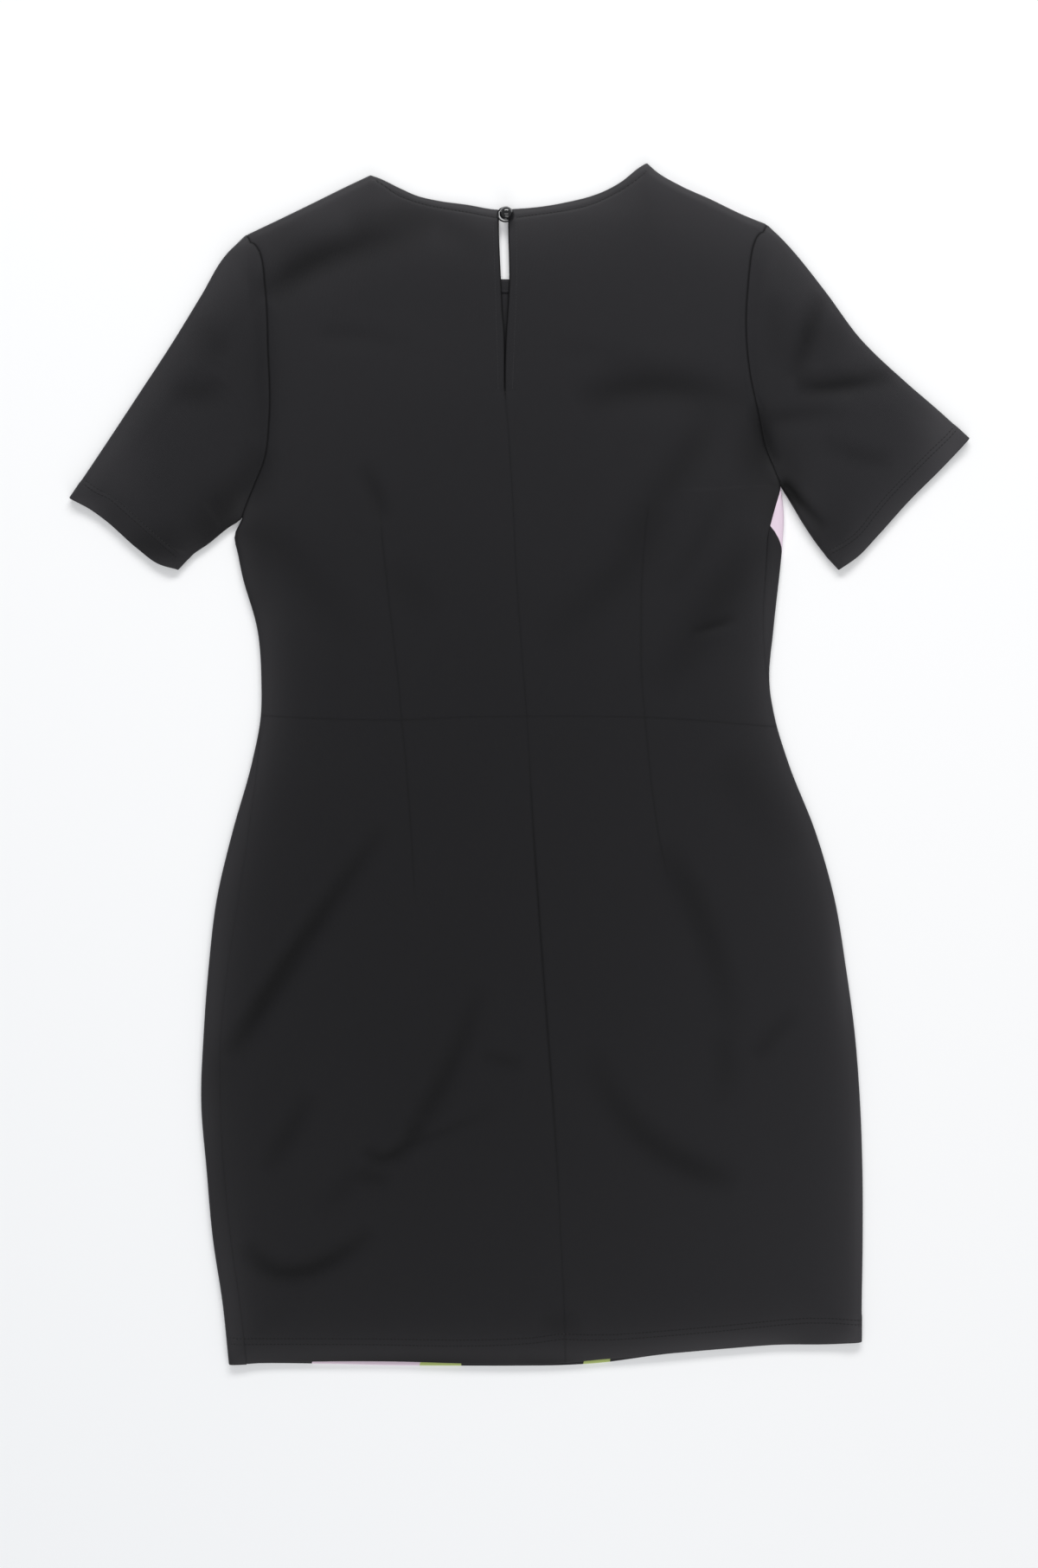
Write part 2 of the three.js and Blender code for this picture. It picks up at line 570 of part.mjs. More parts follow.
// Grid of the front panel: seam to seam by way of both folded edges, underneath
const skirtFrontRows = rowsOf('skirt', skirtRows, 0, 1 - skirtShare);
const midriffFrontRows = rowsOf('midriff', midriffRows, midriffShare, 1);
const yokeFrontRows = rowsOf('yoke', yokeRows, 0, 1, ringCrowding).slice(1);
const frontRows = skirtFrontRows.concat(midriffFrontRows, yokeFrontRows);
const frontGrid = frontRows.map((row) => {
  const { band, t, dt } = row;
  const length = rowLength(band, t);
  const yoke = band === 'yoke';
  const ends = upperEnd(row);
  const from = yoke ? -half : ends.left - seamGap;
  const to = yoke ? half - length : ends.right + seamGap - 2 * length;
  const surface = (at, w) => bodyPoint(band, at, w, true);
  const left = -crossing(band, t, lines.leftDart, true);
  const right = -crossing(band, t, lines.rightDart, true);
  const folded = [0, -length];
  const places = spread(from, left, frontSideColumns, folded)
    .concat(spread(left, right, frontMiddleColumns, folded).slice(1))
    .concat(spread(right, to, frontSideColumns, folded).slice(1));
  return places.map((w) => sample(surface, t, w, dt));
});

// A sleeve's flat outline, from the armhole at 0 to the cuff at 1 and from underarm to outer edge
function sleeveOutline(tables, arm) {
  const outer = path(tables.outer);
  const under = path(tables.under);
  const cuff = path(tables.cuff.slice().reverse());
  return (a, f) => {
    const blend = (key) => mix(arm.at(f)[key], cuff.at(f)[key], a)
      + mix(under.at(a)[key], outer.at(a)[key], f)
      - mix(mix(arm.at(0)[key], arm.at(1)[key], f), mix(cuff.at(0)[key], cuff.at(1)[key], f), a);
    return { x: blend('x'), y: blend('y') };
  };
}

// A point of a sleeve's middle surface: w runs from the underarm fold over the upper layer to the
// outer fold and back underneath
function sleeveSurface(outline) {
  const ring = (a) => {
    const start = outline(a, 0);
    const end = outline(a, 1);
    const width = Math.hypot(end.x - start.x, end.y - start.y);
    const radius = mix(crotchRadius, rollRadius, Math.min(a / crotchShare, 1));
    const inner = width - wall;
    return { width, radius, inner, length: inner + radius * (Math.PI - 2) };
  };
  const at = (a, w) => {
    const { width, radius, inner, length } = ring(a);
    const round = 2 * length;
    const s = ((w % round) + round) % round;
    const upper = s <= length;
    const r = upper ? s : round - s;
    const arc = radius * Math.PI / 2;
    let d = radius + r - arc;
    let turn = Math.PI / 2;
    if (r < arc) {
      turn = r / radius;
      d = radius * (1 - Math.cos(turn));
    } else if (r > length - arc) {
      turn = (length - r) / radius;
      d = inner - radius * (1 - Math.cos(turn));
    }
    const { x, y } = outline(a, (d + wall / 2) / width);
    const share = (1 + (upper ? 1 : -1) * Math.sin(turn)) / 2;
    return new THREE.Vector3(x, y, lowerLie + (lift(x, y) - lowerLie) * share);
  };
  return { at, round: (a) => 2 * ring(a).length };
}

// Grid of a sleeve: the first ring follows the body's armhole edge, the others run out to the cuff
function sleeveGrid(tables, arm, left) {
  const lengthAlong = (row) => rowLength(row.band, row.t);
  const crotchRow = midriffBackRows[midriffBackRows.length - 1];
  const bodyEdge = [crotchRow, ...yokeBackRows].map((row) => {
    const ends = upperEnd(row);
    return sample((t, w) => bodyPoint(row.band, t, w), row.t, left ? ends.left : ends.right, row.dt);
  }).concat(yokeFrontRows.slice().reverse().map((row) => sample(
    (t, w) => bodyPoint(row.band, t, w, true), row.t, left ? -half : half - lengthAlong(row), row.dt,
  )));
  const count = bodyEdge.length;
  const upperCount = yokeBackRows.length;
  const outline = sleeveOutline(tables, arm);
  const inSleeve = outline(1 / 3, 1 / 3);
  // At the armpit the sleeve's fold and the body's run off side by side, and the gap parts them
  const ahead = (from, to) => new THREE.Vector3(to.x - from.x, to.y - from.y, 0).normalize();
  const armpit = arm.at(0);
  const belowY = armpit.y - crotchRun / 2;
  const below = { x: (left ? edgeLeft : edgeRight)(belowY), y: belowY };
  const parting = ahead(armpit, outline(crotchShare / 2, 0)).sub(ahead(armpit, below)).normalize();
  const first = bodyEdge.map(({ point, out }, k) => {
    const next = bodyEdge[(k + 1) % count].point;
    const previous = bodyEdge[(k + count - 1) % count].point;
    if (k === 0) return { point: point.clone().addScaledVector(parting, crotchGap), out };
    const away = next.clone().sub(previous).cross(out).normalize().multiplyScalar(seamGap);
    if (away.x * (inSleeve.x - point.x) + away.y * (inSleeve.y - point.y) < 0) away.negate();
    return { point: point.clone().add(away), out };
  });
  const surface = sleeveSurface(outline);
  const grid = [first];
  for (let j = 1; j <= sleeveRings; j += 1) {
    const a = (j / sleeveRings) ** ringCrowding;
    const round = surface.round(a);
    const outerFold = round / 2;
    const lowerCount = count - upperCount;
    const dt = j < sleeveRings ? rowProbe : -rowProbe;
    const upper = spread(armpitStart, outerFold, upperCount, [0, outerFold]).slice(0, -1);
    const lower = spread(outerFold, round + armpitStart, lowerCount, [outerFold, round]).slice(0, -1);
    grid.push(upper.concat(lower).map((w) => sample(surface.at, a, w, dt)));
  }
  return grid;
}

// Strip inside the front neckline, laid on the front panel
const facingPlaces = Array.from({ length: facing.columns + 1 }, (_, i) => (
  mix(facing.from, facing.to, i / facing.columns)
));
const facingGrid = [facing.width, 0].map((inward) => facingPlaces.map((x) => {
  const slope = (frontNeckY(x + 0.5) - frontNeckY(x - 0.5));
  const lean = Math.hypot(1, slope);
  const height = wall + seamGap + facing.wall / 2;
  return {
    point: new THREE.Vector3(x + inward * slope / lean, frontNeckY(x) - 0.4 - inward / lean, height),
    out: new THREE.Vector3(0, 0, 1),
  };
}));

// Ball with a short shank, turned about its upright axis
function buttonShape() {
  const { radius, shankRadius, shankEnd, z } = button;
  const start = Math.asin(shankRadius / radius);
  const profile = [new THREE.Vector2(0, shankEnd - z), new THREE.Vector2(shankRadius, shankEnd - z)];
  const steps = 10;
  for (let i = 0; i < steps; i += 1) {
    const angle = mix(start, Math.PI, i / steps);
    profile.push(new THREE.Vector2(radius * Math.sin(angle), -radius * Math.cos(angle)));
  }
  profile.push(new THREE.Vector2(0, radius));
  return new THREE.LatheGeometry(profile, 20).rotateX(Math.PI / 2).translate(button.x, button.y, z);
}

// Closed cord that lies round the foot of the ball
function loopShape() {
  const around = 20;
  const sides = 6;
  const grid = Array.from({ length: around }, (_, i) => {
    const a = i / around * Math.PI * 2;
    const across = loop.halfLength * Math.cos(a);
    const up = loop.halfWidth * Math.sin(a);
    const centre = new THREE.Vector3(loop.x + across, loop.y + up, loop.z);
    const outward = new THREE.Vector3(across / loop.halfLength ** 2, up / loop.halfWidth ** 2, 0).normalize();
    return Array.from({ length: sides }, (_, k) => {
      const b = k / sides * Math.PI * 2;
      return centre.clone().addScaledVector(outward, loop.radius * Math.cos(b))
        .add(new THREE.Vector3(0, 0, loop.radius * Math.sin(b)));
    });
  });
  const index = [];
  for (let i = 0; i < around; i += 1) {
    for (let k = 0; k < sides; k += 1) {
      const a = i * sides + k;
      const b = ((i + 1) % around) * sides + k;
      const c = ((i + 1) % around) * sides + (k + 1) % sides;
      const d = i * sides + (k + 1) % sides;
      index.push(a, b, c, a, c, d);
    }
  }
  const geometry = new THREE.BufferGeometry();
  const position = grid.flat().flatMap((p) => [p.x, p.y, p.z]);
  geometry.setAttribute('position', new THREE.Float32BufferAttribute(position, 3));
  geometry.setIndex(index);
  geometry.computeVertexNormals();
  return geometry;
}

// Assembly
const group = new THREE.Group();
const black = 0x2a2a2d;
const clothLook = () => new THREE.MeshStandardMaterial({ color: black, roughness: 0.85, metalness: 0 });
function add(name, geometry, material = clothLook()) {
  const mesh = new THREE.Mesh(geometry, material);
  mesh.name = name;
  group.add(mesh);
}

add('front', panel(frontGrid, wall));
add('back_skirt_left', panel(backGrid(skirtBackRows, true), wall));
add('back_skirt_right', panel(backGrid(skirtBackRows, false), wall));
add('back_bodice_left', panel(backGrid(bodiceBackRows, true), wall));
add('back_bodice_right', panel(backGrid(bodiceBackRows, false), wall));
add('sleeve_left', panel(sleeveGrid(leftSleeve, armLeft, true), wall, true));
add('sleeve_right', panel(sleeveGrid(rightSleeve, armRight, false), wall, true));
add('front_neck_facing', panel(facingGrid, facing.wall));
const gloss = new THREE.MeshStandardMaterial({ color: 0x0b0b0c, roughness: 0.12, metalness: 0.1 });
add('button', buttonShape(), gloss);
add('button_loop', loopShape());

export default group;
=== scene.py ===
import math

import bpy
import numpy as np
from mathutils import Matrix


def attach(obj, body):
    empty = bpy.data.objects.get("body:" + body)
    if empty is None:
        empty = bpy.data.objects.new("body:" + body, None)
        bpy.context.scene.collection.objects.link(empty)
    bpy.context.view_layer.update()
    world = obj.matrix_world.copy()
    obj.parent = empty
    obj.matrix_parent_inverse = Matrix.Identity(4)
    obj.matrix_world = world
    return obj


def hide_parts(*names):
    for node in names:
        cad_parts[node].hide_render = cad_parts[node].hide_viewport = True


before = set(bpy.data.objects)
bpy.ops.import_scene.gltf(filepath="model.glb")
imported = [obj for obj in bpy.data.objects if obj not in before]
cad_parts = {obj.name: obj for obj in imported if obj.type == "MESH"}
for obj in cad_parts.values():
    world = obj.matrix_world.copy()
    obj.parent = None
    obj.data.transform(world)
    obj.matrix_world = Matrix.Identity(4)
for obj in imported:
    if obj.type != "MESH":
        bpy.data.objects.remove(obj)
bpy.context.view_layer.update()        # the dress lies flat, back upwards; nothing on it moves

MM = 0.001               # all sizes below are in millimetres

# Cloth and lie, as in the part
WALL = 1.2               # double knit
LAYER_GAP = 0.3
SEAM_GAP = 0.04          # sewn edges meet closely
HALF = SEAM_GAP / 2
LOWER_LIE = WALL / 2     # middle of the layer on the floor
UPPER_LIE = 3.9          # middle of the upper layer
LOWEST_LIE = 2.3
PART_ROLL = 3.0          # rounding of a folded side on the part, from which the seams are measured
ROLL = 6.5               # the softer rounding of the cloth itself
CROTCH_ROLL = 1.4        # the same at the armpit, where it starts
CROTCH_GAP = 1.3
CROTCH_RUN = 30.0
CROTCH_SHARE = 0.17
ARMPIT_START = 2.0
EDGE_RISE = 1.7          # springy fullness along the folded sides
EDGE_SPREAD = 15.0
TOP_DROP = 6.0           # rounding at shoulder and neck
TOP_RIM = WALL + LAYER_GAP
RIM_REACH, TOP_REACH = 11.0, 24.0    # painted highlight reaches this far in from the outline, and further at the shoulders
CROWN_SHARING = 1.4
YOKE_START = 205.0

# Finish
STEP = 2.6               # grid of the upper layer
UNDER_STEP = 4.5         # grid of the layer underneath
GROOVES = {"centre": 0.25, "plain": 0.04, "side": 0.1, "armhole": 0.4, "dart": 0.1, "slit": 0.0}
# how dark each kind of seam's painted shade is
SEAM_SHADES = {"centre": 0.65, "plain": 0.25, "side": 0.12, "armhole": 0.85, "dart": 0.35, "slit": 1.0}
GROOVE_REACH = 0.8       # how far a panel's skin turns down into a seam, and how far its painted shade reaches
EDGE_ROUND = 0.7         # rounding of a turned edge
HEM_DEPTH = 20.0         # turned-up hem, double cloth
HEM_EXTRA = 0.8
HEM_STEP = 0.35          # what of it shows on the outside
THREAD = 0.17            # radius of the sewing thread
STITCH = 2.7             # length of one stitch with its gap
WALE, COURSE = 0.0008, 0.0006    # width and height of one loop of the knit, in metres
NECK_STITCH = 2.3


def table(names, *rows):
    """Columns of a table by name."""
    return dict(zip(names.split(), np.array(rows, float).T))


body_sections = table(
    "y left right left_seam right_seam centre left_dart right_dart",
    (-444, -215.0, 253.0, 14.5, -8.0, 34.0, -66.0, 132.0),
    (-400, -219.5, 253.3, 14.0, -8.0, 33.0, -67.0, 130.0),
    (-350, -227.0, 254.0, 14.5, -8.0, 30.5, -68.5, 128.0),
    (-300, -231.5, 253.8, 14.0, -8.0, 28.0, -70.0, 126.0),
    (-250, -235.5, 252.0, 15.5, -8.0, 24.7, -71.5, 124.0),
    (-200, -233.7, 248.2, 14.0, -8.0, 21.0, -73.0, 122.0),
    (-150, -230.0, 241.5, 15.5, -8.0, 17.3, -75.0, 119.0),
    (-100, -224.0, 233.2, 17.0, -7.5, 13.7, -77.3, 113.0),
    (-50, -212.3, 219.0, 13.0, -7.0, 10.3, -80.3, 102.5),
    (0, -198.2, 199.3, 5.5, -5.5, 7.4, -84.0, 96.0),
    (35, -191.5, 188.8, 1.5, -2.5, 5.4, -87.4, 92.8),
    (60, -191.0, 185.0, 1.0, 1.8, 3.5, -89.5, 90.6),
    (100, -194.0, 188.0, 2.2, 9.0, 0.5, -94.2, 90.0),
    (140, -205.2, 192.4, 2.4, 11.8, -2.3, -98.8, 90.7),
    (155, -208.2, 194.0, 2.2, 12.4, -3.1, -100.3, 91.7),
    (170, -210.6, 195.1, 1.8, 12.5, -3.8, -101.8, 93.0),
    (180, -206.0, 195.7, 1.2, 10.5, -4.2, -102.6, 94.0),
    (205, -198.0, 193.6, 1.2, 1.2, -5.5, -104.4, 97.0))
slit_sections = table(
    "y left right",
    (205, -5.5, -5.5), (251, -8.6, -8.6), (274, -10.6, -10.6), (309, -11.0, -10.3),
    (322, -11.4, -9.7), (335, -12.5, -8.8), (347, -13.1, -8.1), (358, -13.6, -7.6),
    (373, -14.3, -7.8), (390, -15.0, -8.3), (412, -15.2, -8.4))
yoke_lines = table(
    "y left_dart right_dart",
    (205, -104.4, 97.0), (300, -107.2, 96.0), (400, -109.5, 95.0), (446, -110.4, 94.4))
back_hem = table(
    "x y",
    (-215, -444.2), (-192, -442.9), (-141, -441.6), (-96, -441.6), (-43, -443.0), (0, -443.6),
    (34, -442.6), (60, -440.2), (102, -436.5), (150, -432.4), (192, -429.3), (230, -428.9),
    (253, -427.5))
front_hem = table(
    "x y",
    (-215, -444.2), (-192, -443.6), (-141, -444.0), (-96, -445.0), (-43, -445.4), (0, -445.4),
    (34, -444.9), (60, -443.2), (102, -437.6), (150, -432.4), (192, -429.3), (230, -428.9),
    (253, -427.5))
waist = table(
    "x y",
    (-191, 35.8), (-141, 33.3), (-87, 32.6), (-41, 34.6), (5, 35.2), (51, 35.2), (93, 34.4),
    (136, 32.0), (166, 29.4), (189, 27.5))
left_shoulder = table(
    "x y", (-202, 391.7), (-179, 402.6), (-154, 414.7), (-128, 427.5), (-110.4, 435.8))
right_shoulder = table(
    "x y", (94.4, 444.8), (100, 439.7), (118, 428.8), (140.5, 418.6), (166, 406.4), (183.4, 399.4))
back_neck = table(
    "x y",
    (-110.4, 435.8), (-104, 433.6), (-90, 426.9), (-77, 421.1), (-60, 417.0), (-39, 414.1),
    (-15, 410.4), (-3.5, 411.0), (12, 412.2), (38, 416.6), (51, 419.8), (64, 424.6),
    (77, 432.0), (89, 441.6), (94.4, 444.8))
front_neck = table(
    "x y",
    (-110.4, 435.8), (-97, 407.0), (-77, 384.0), (-46, 366.0), (-10, 358.4), (26, 365.0),
    (59, 385.0), (80, 413.0), (94.4, 444.8))
left_armhole = table(
    "x y",
    (-205.8, 180.8), (-203.2, 188.8), (-196.2, 206.7), (-189.1, 224.6), (-185.3, 255.0),
    (-186.2, 309.1), (-187.6, 344.3), (-191.0, 369.0), (-196.5, 381.5), (-202.0, 391.7))
right_armhole = table(
    "x y",
    (193.6, 205.4), (186.6, 222.7), (182.5, 233.0), (177.0, 259.0), (170.5, 290.0),
    (167.7, 325.1), (168.8, 350.0), (172.5, 376.3), (178.0, 389.1), (183.4, 399.4))
left_sleeve = {
    "outer": table(
        "x y", (-202.0, 391.7), (-217.4, 376.3), (-235.6, 346.2), (-257.2, 311.0),
        (-282.5, 272.4), (-308.2, 233.5), (-333.0, 196.5)),
    "cuff": table(
        "x y", (-252.8, 143.8), (-268.0, 148.4), (-281.9, 158.7), (-307.5, 181.1),
        (-318.4, 188.8), (-333.0, 196.5)),
    "under": table(
        "x y", (-205.8, 180.8), (-214.7, 175.4), (-230.7, 162.6), (-242.2, 154.6),
        (-252.8, 143.8)),
    "stitch": table(
        "x y", (-254.5, 153.4), (-259.5, 157.4), (-269.1, 165.6), (-281.9, 177.0),
        (-297.9, 191.2), (-304.0, 196.4), (-311.7, 199.6), (-319.0, 204.4), (-323.0, 208.0))}
right_sleeve = {
    "outer": table(
        "x y", (183.4, 399.4), (199.3, 383.0), (226.2, 349.7), (251.8, 315.2),
        (286.0, 282.4), (311.4, 260.4), (333.0, 240.6)),
    "cuff": table(
        "x y", (236.5, 143.6), (250.0, 153.0), (265.3, 169.0), (287.7, 193.9),
        (313.3, 219.5), (326.1, 233.0), (333.0, 240.6)),
    "under": table(
        "x y", (193.6, 205.4), (201.2, 193.0), (210.2, 177.6), (225.0, 156.3), (236.5, 143.6)),
    "stitch": table(
        "x y", (231.0, 155.6), (240.0, 160.4), (250.5, 168.2), (263.0, 183.6), (273.0, 195.8),
        (289.6, 213.1), (306.9, 230.4), (317.8, 241.0), (322.0, 245.6))}

# Troughs of the upper layer: three places on the bend, half width, depth, how far
# along it is deepest (0 to 1), and lean, positive where its left flank is the steeper one
creases = table(
    "x0 y0 x1 y1 x2 y2 width depth peak lean",
    # skirt
    (-216, -217, -163, -133, -100, -44, 7.5, 2.1, 0.3, 0.3),    # long fold on the left
    (-156, -240, -172, -272, -192, -302, 8, 1.0, 0.5, -0.3),
    (-206, -352, -168, -376, -108, -343, 7.5, 1.9, 0.6, 0.4),   # crescent, low on the left
    (-29, -161, -52, -222, -84, -277, 8, 1.35, 0.75, -0.3),     # middle fold
    (-74, -264, -96, -290, -118, -283, 5.5, 1.8, 0.5, -0.3),    # its hooked end
    (-86, -284, -51, -269, -14, -254, 4.5, 0.7, 0.12, 0.3),
    (-30, -213, -12, -219, 4, -222, 6, 0.8, 0.5, 0.3),
    (-120, -299, -109, -306, -94, -308, 7, 0.9, 0.4, 0.2),
    (-120, -294, -133, -314, -156, -330, 9, 0.6, 0.3, -0.2),
    (50, -206, 92, -275, 164, -309, 11, 1.3, 0.72, 0.3),        # lower right
    (103, -58, 140, -128, 157, -202, 11, 1.0, 0.3, 0.2),        # right hip
    (148, -196, 153, -224, 150, -254, 10, 0.6, 0.3, 0.0),
    (209, -180, 192, -196, 173, -218, 7, 0.6, 0.8, -0.3),
    (146, 6, 172, -24, 204, -70, 17, 0.5, 0.4, 0.2),
    (14, -411, 30, -414, 46, -411, 9, 0.6, 0.5, 0.2),           # centre of the hem
    # bodice
    (-188, 343, -140, 377, -64, 391, 12, 1.6, 0.3, 0.5),        # left shoulder
    (-128, 396, -72, 404, -18, 374, 12, 0.9, 0.3, 0.3),
    (42, 264, 102, 280, 168, 264, 13, 1.25, 0.45, 0.4),         # right shoulder blade
    (24, 312, 62, 302, 104, 295, 8, 0.2, 0.6, 0.3),
    (-150, 315, -122, 317, -76, 307, 7, 0.35, 0.3, 0.2),
    (146, 262, 112, 208, 76, 160, 13, 0.7, 0.4, -0.3),          # across the right back
    (104, 190, 72, 138, 14, 88, 15, 0.7, 0.4, -0.3),
    (180, 172, 146, 118, 100, 48, 16, 0.9, 0.5, -0.3),          # right waist
    (126, 98, 145, 103, 162, 109, 4, 0.9, 0.4, 0.3),
    (156, 207, 130, 158, 108, 124, 8, 0.4, 0.5, -0.2),
    (-206, 190, -172, 152, -116, 84, 17, 0.7, 0.35, 0.3),       # left armpit
    (-118, 222, -107, 200, -99, 178, 6.5, 0.65, 0.5, 0.3),      # above the left dart
    (-98, 150, -80, 126, -62, 104, 15, 0.4, 0.4, 0.2),
    # sleeves
    (-228, 184, -204, 206, -190, 236, 14, 1.0, 0.45, 0.3),
    (-262, 276, -238, 274, -222, 285, 11, 0.7, 0.5, 0.3),
    (-236, 330, -228, 312, -216, 300, 12, 0.4, 0.5, 0.0),
    (223, 348, 214, 318, 203, 281, 8, 1.15, 0.5, 0.1),
    (203, 278, 236, 280, 280, 288, 7.5, 1.5, 0.5, 0.4),
    (176, 268, 181, 244, 189, 220, 6, 1.0, 0.5, 0.1),
    (182, 253, 211, 258, 244, 261, 7, 0.6, 0.3, 0.3),
    (193, 209, 211, 191, 228, 172, 4, 1.3, 0.2, 0.2),           # by the right underarm
    (222, 240, 254, 227, 277, 226, 8, 0.6, 0.5, 0.3),
    (184, 346, 190, 320, 189, 290, 11, 0.4, 0.5, 0.0))
# Soft spots of painted light (above 0) and painted shade (below 0): middle, half widths across and up, amount
painted_light_spots = table(
    "x y across up amount",
    (-225, 175, 22, 26, -0.85), (-278, 160, 34, 18, -0.75), (198, 203, 14, 30, -0.7), (222, 166, 20, 26, -0.55),
    (176, 234, 16, 36, -0.55), (-190, 280, 12, 70, -0.25), (214, 298, 42, 36, -0.16), (-226, 290, 40, 44, -0.14),
    (190, 160, 10, 34, -0.3), (-195, 130, 12, 38, -0.33), (-222, -225, 14, 24, -0.3), (-80, -443, 110, 7, -0.75),
    (-103, 409, 14, 12, 0.2), (98, 440, 16, 14, 0.2), (-170, 388, 26, 18, -0.24), (318, 245, 22, 28, 0.7),
    (242, -130, 9, 50, 0.55), (256, -320, 7, 100, 0.55), (28, 400, 60, 16, -0.12), (-81, 430, 18, 10, -0.3),
    (63, 428, 20, 10, -0.3), (230, 319, 14, 14, -0.25), (-302, 181, 14, 14, -0.35), (22, -444, 24, 6, -0.35),
    (217, -428, 18, 9, -0.25), (250, -426, 10, 16, 0.35), (-222, -305, 10, 55, -0.3), (255, 345, 10, 26, 0.2),
    (160, -430, 50, 10, 0.2), (232, 330, 26, 26, 0.16), (-296, 216, 20, 34, 0.16))
# Slow waves: across, up, where they start, height
waves = table(
    "kx ky start height",
    (0.031, 0.019, 0.4, 0.16), (-0.017, 0.043, 1.9, 0.13), (0.052, -0.028, 3.1, 0.07),
    (0.024, 0.061, 5.0, 0.06))

# Button, its loop and the strip inside the front neckline
button = {"x": -9.8, "y": 406.2, "z": 8.6, "radius": 5.0, "shank": 1.2, "shank_end": 1.9}
loop = {"x": -10.3, "y": 406.0, "z": 5.2, "long": 5.9, "wide": 5.3, "radius": 0.7}
facing = {"start": -64.0, "end": 44.0, "width": 9.0, "wall": 1.0}

# Lines of visible stitching
hem_stitches = table(
    "x low high",
    (-211.5, -428.8, -424.6), (-128.3, -428.8, -424.6), (-0.3, -428.8, -424.6),
    (15.7, -427.5, -423.6), (31.7, -425.0, -421.2), (47.7, -425.6, -421.8),
    (63.7, -425.6, -421.8), (102.1, -423.0, -419.2), (140.5, -419.8, -416.0),
    (166.1, -417.3, -413.7), (191.7, -414.7, -411.0), (217.3, -412.8, -409.4),
    (252.3, -414.3, -410.9))
left_neck_stitches = table(
    "x y", (-105.5, 430.6), (-102.7, 428.8), (-95.0, 423.7), (-89.9, 420.3), (-80.3, 416.6),
    (-70.7, 413.7), (-61.1, 411.6), (-51.5, 409.9), (-38.7, 407.8), (-25.9, 405.3), (-16.6, 403.6))
right_neck_stitches = table(
    "x y", (-2.2, 403.8), (6.1, 405.1), (18.9, 406.8), (31.7, 408.6), (41.3, 410.4),
    (50.9, 412.8), (63.7, 418.0), (76.5, 424.8), (86.1, 431.4), (91.2, 435.6))
slit_stitches = {
    "left": table("x y", (-19.4, 402.0), (-18.6, 373.0), (-17.6, 341.0), (-16.6, 309.0), (-15.6, 277.0)),
    "right": table("x y", (-2.6, 402.0), (-2.0, 373.0), (-2.6, 341.0), (-4.0, 309.0), (-5.2, 277.0))}
bartack = table("x y", (-18.2, 275.6), (-10.4, 275.2), (-2.2, 275.8))

# Colour blocks of the front, on its flat cut: the height of each boundary at places across
pink_blocks = table(
    "y from_ to",
    (-470, -160, -80), (-445, -154, -74), (-300, -128, -22), (-120, -64, 68), (60, 14, 158),
    (154, 52, 196), (173, 60, 209), (205, 70, 240), (330, 96, 300), (460, 110, 360))
lime_sweep = table(                                             # its near side runs on under the pink
    "y from_ to",
    (-470, -104, -38), (-445, -98, -43), (-300, -46, 30), (-200, -2, 62), (-120, 44, 84), (-60, 76, 96))
lime_leaf = table(
    "y from_ to",
    (-470, 42, 70), (-445, 47, 67), (-330, 84, 122), (-220, 132, 160), (-168, 156, 169))


def mix(a, b, t):
    """a where t is 0, b where t is 1, straight between them."""
    return a + (b - a) * t


def curve(k, v):
    """Smooth curve through (k, v): a cubic on each span, whose slope at a row is the mean of the slopes
    on its two sides, each weighted by the other span's length; level beyond the ends."""
    gap = np.diff(k)
    step = np.diff(v) / gap
    slope = np.concatenate([step[:1], (step[:-1] * gap[1:] + step[1:] * gap[:-1]) / (gap[:-1] + gap[1:]),
                            step[-1:]])

    def at(x):
        x = np.asarray(x, float)
        i = np.clip(np.searchsorted(k, x, side="right") - 1, 0, len(k) - 2)
        t = np.clip((x - k[i]) / gap[i], 0, 1)
        u = 1 - t
        return (v[i] * (1 + 2 * t) * u * u + slope[i] * gap[i] * t * u * u
                + v[i + 1] * t * t * (3 - 2 * t) - slope[i + 1] * gap[i] * t * t * u)
    return at


def column(rows, name, along="y"):
    return curve(rows[along], rows[name])


class Path:
    """Smooth path through a table of places: x and y as curves of the distance run, from 0 to 1."""

    def __init__(self, rows):
        run = np.concatenate([[0], np.cumsum(np.hypot(np.diff(rows["x"]), np.diff(rows["y"])))])
        self.length = run[-1]
        self.x, self.y = curve(run, rows["x"]), curve(run, rows["y"])

    def __call__(self, t):
        return self.x(t * self.length), self.y(t * self.length)


edge_left, edge_right = column(body_sections, "left"), column(body_sections, "right")
seam_left, seam_right = column(body_sections, "left_seam"), column(body_sections, "right_seam")


def joined(low, high):
    """One line below the yoke and another above its start."""
    return lambda y: np.where(np.asarray(y) < YOKE_START, low(y), high(y))


lines = {
    "left_dart": joined(column(body_sections, "left_dart"), column(yoke_lines, "left_dart")),
    "right_dart": joined(column(body_sections, "right_dart"), column(yoke_lines, "right_dart")),
    "left_centre": joined(column(body_sections, "centre"), column(slit_sections, "left")),
    "right_centre": joined(column(body_sections, "centre"), column(slit_sections, "right"))}
hem_heights = {False: column(back_hem, "y", "x"), True: column(front_hem, "y", "x")}
waist_height = column(waist, "y", "x")
neck_left, neck_right = back_neck["x"][0], back_neck["x"][-1]


def top_height(neck):
    """Height of the upper outline at x: shoulder, neckline, shoulder."""
    left, middle, right = (column(t, "y", "x") for t in (left_shoulder, neck, right_shoulder))
    return lambda x: np.where(x < neck_left, left(x), np.where(x > neck_right, right(x), middle(x)))


front_neck_height = column(front_neck, "y", "x")
top_heights = {False: top_height(back_neck), True: top_height(front_neck)}
arms = {"left": Path(left_armhole), "right": Path(right_armhole)}
armpit_y = {"left": left_armhole["y"][0], "right": right_armhole["y"][0]}


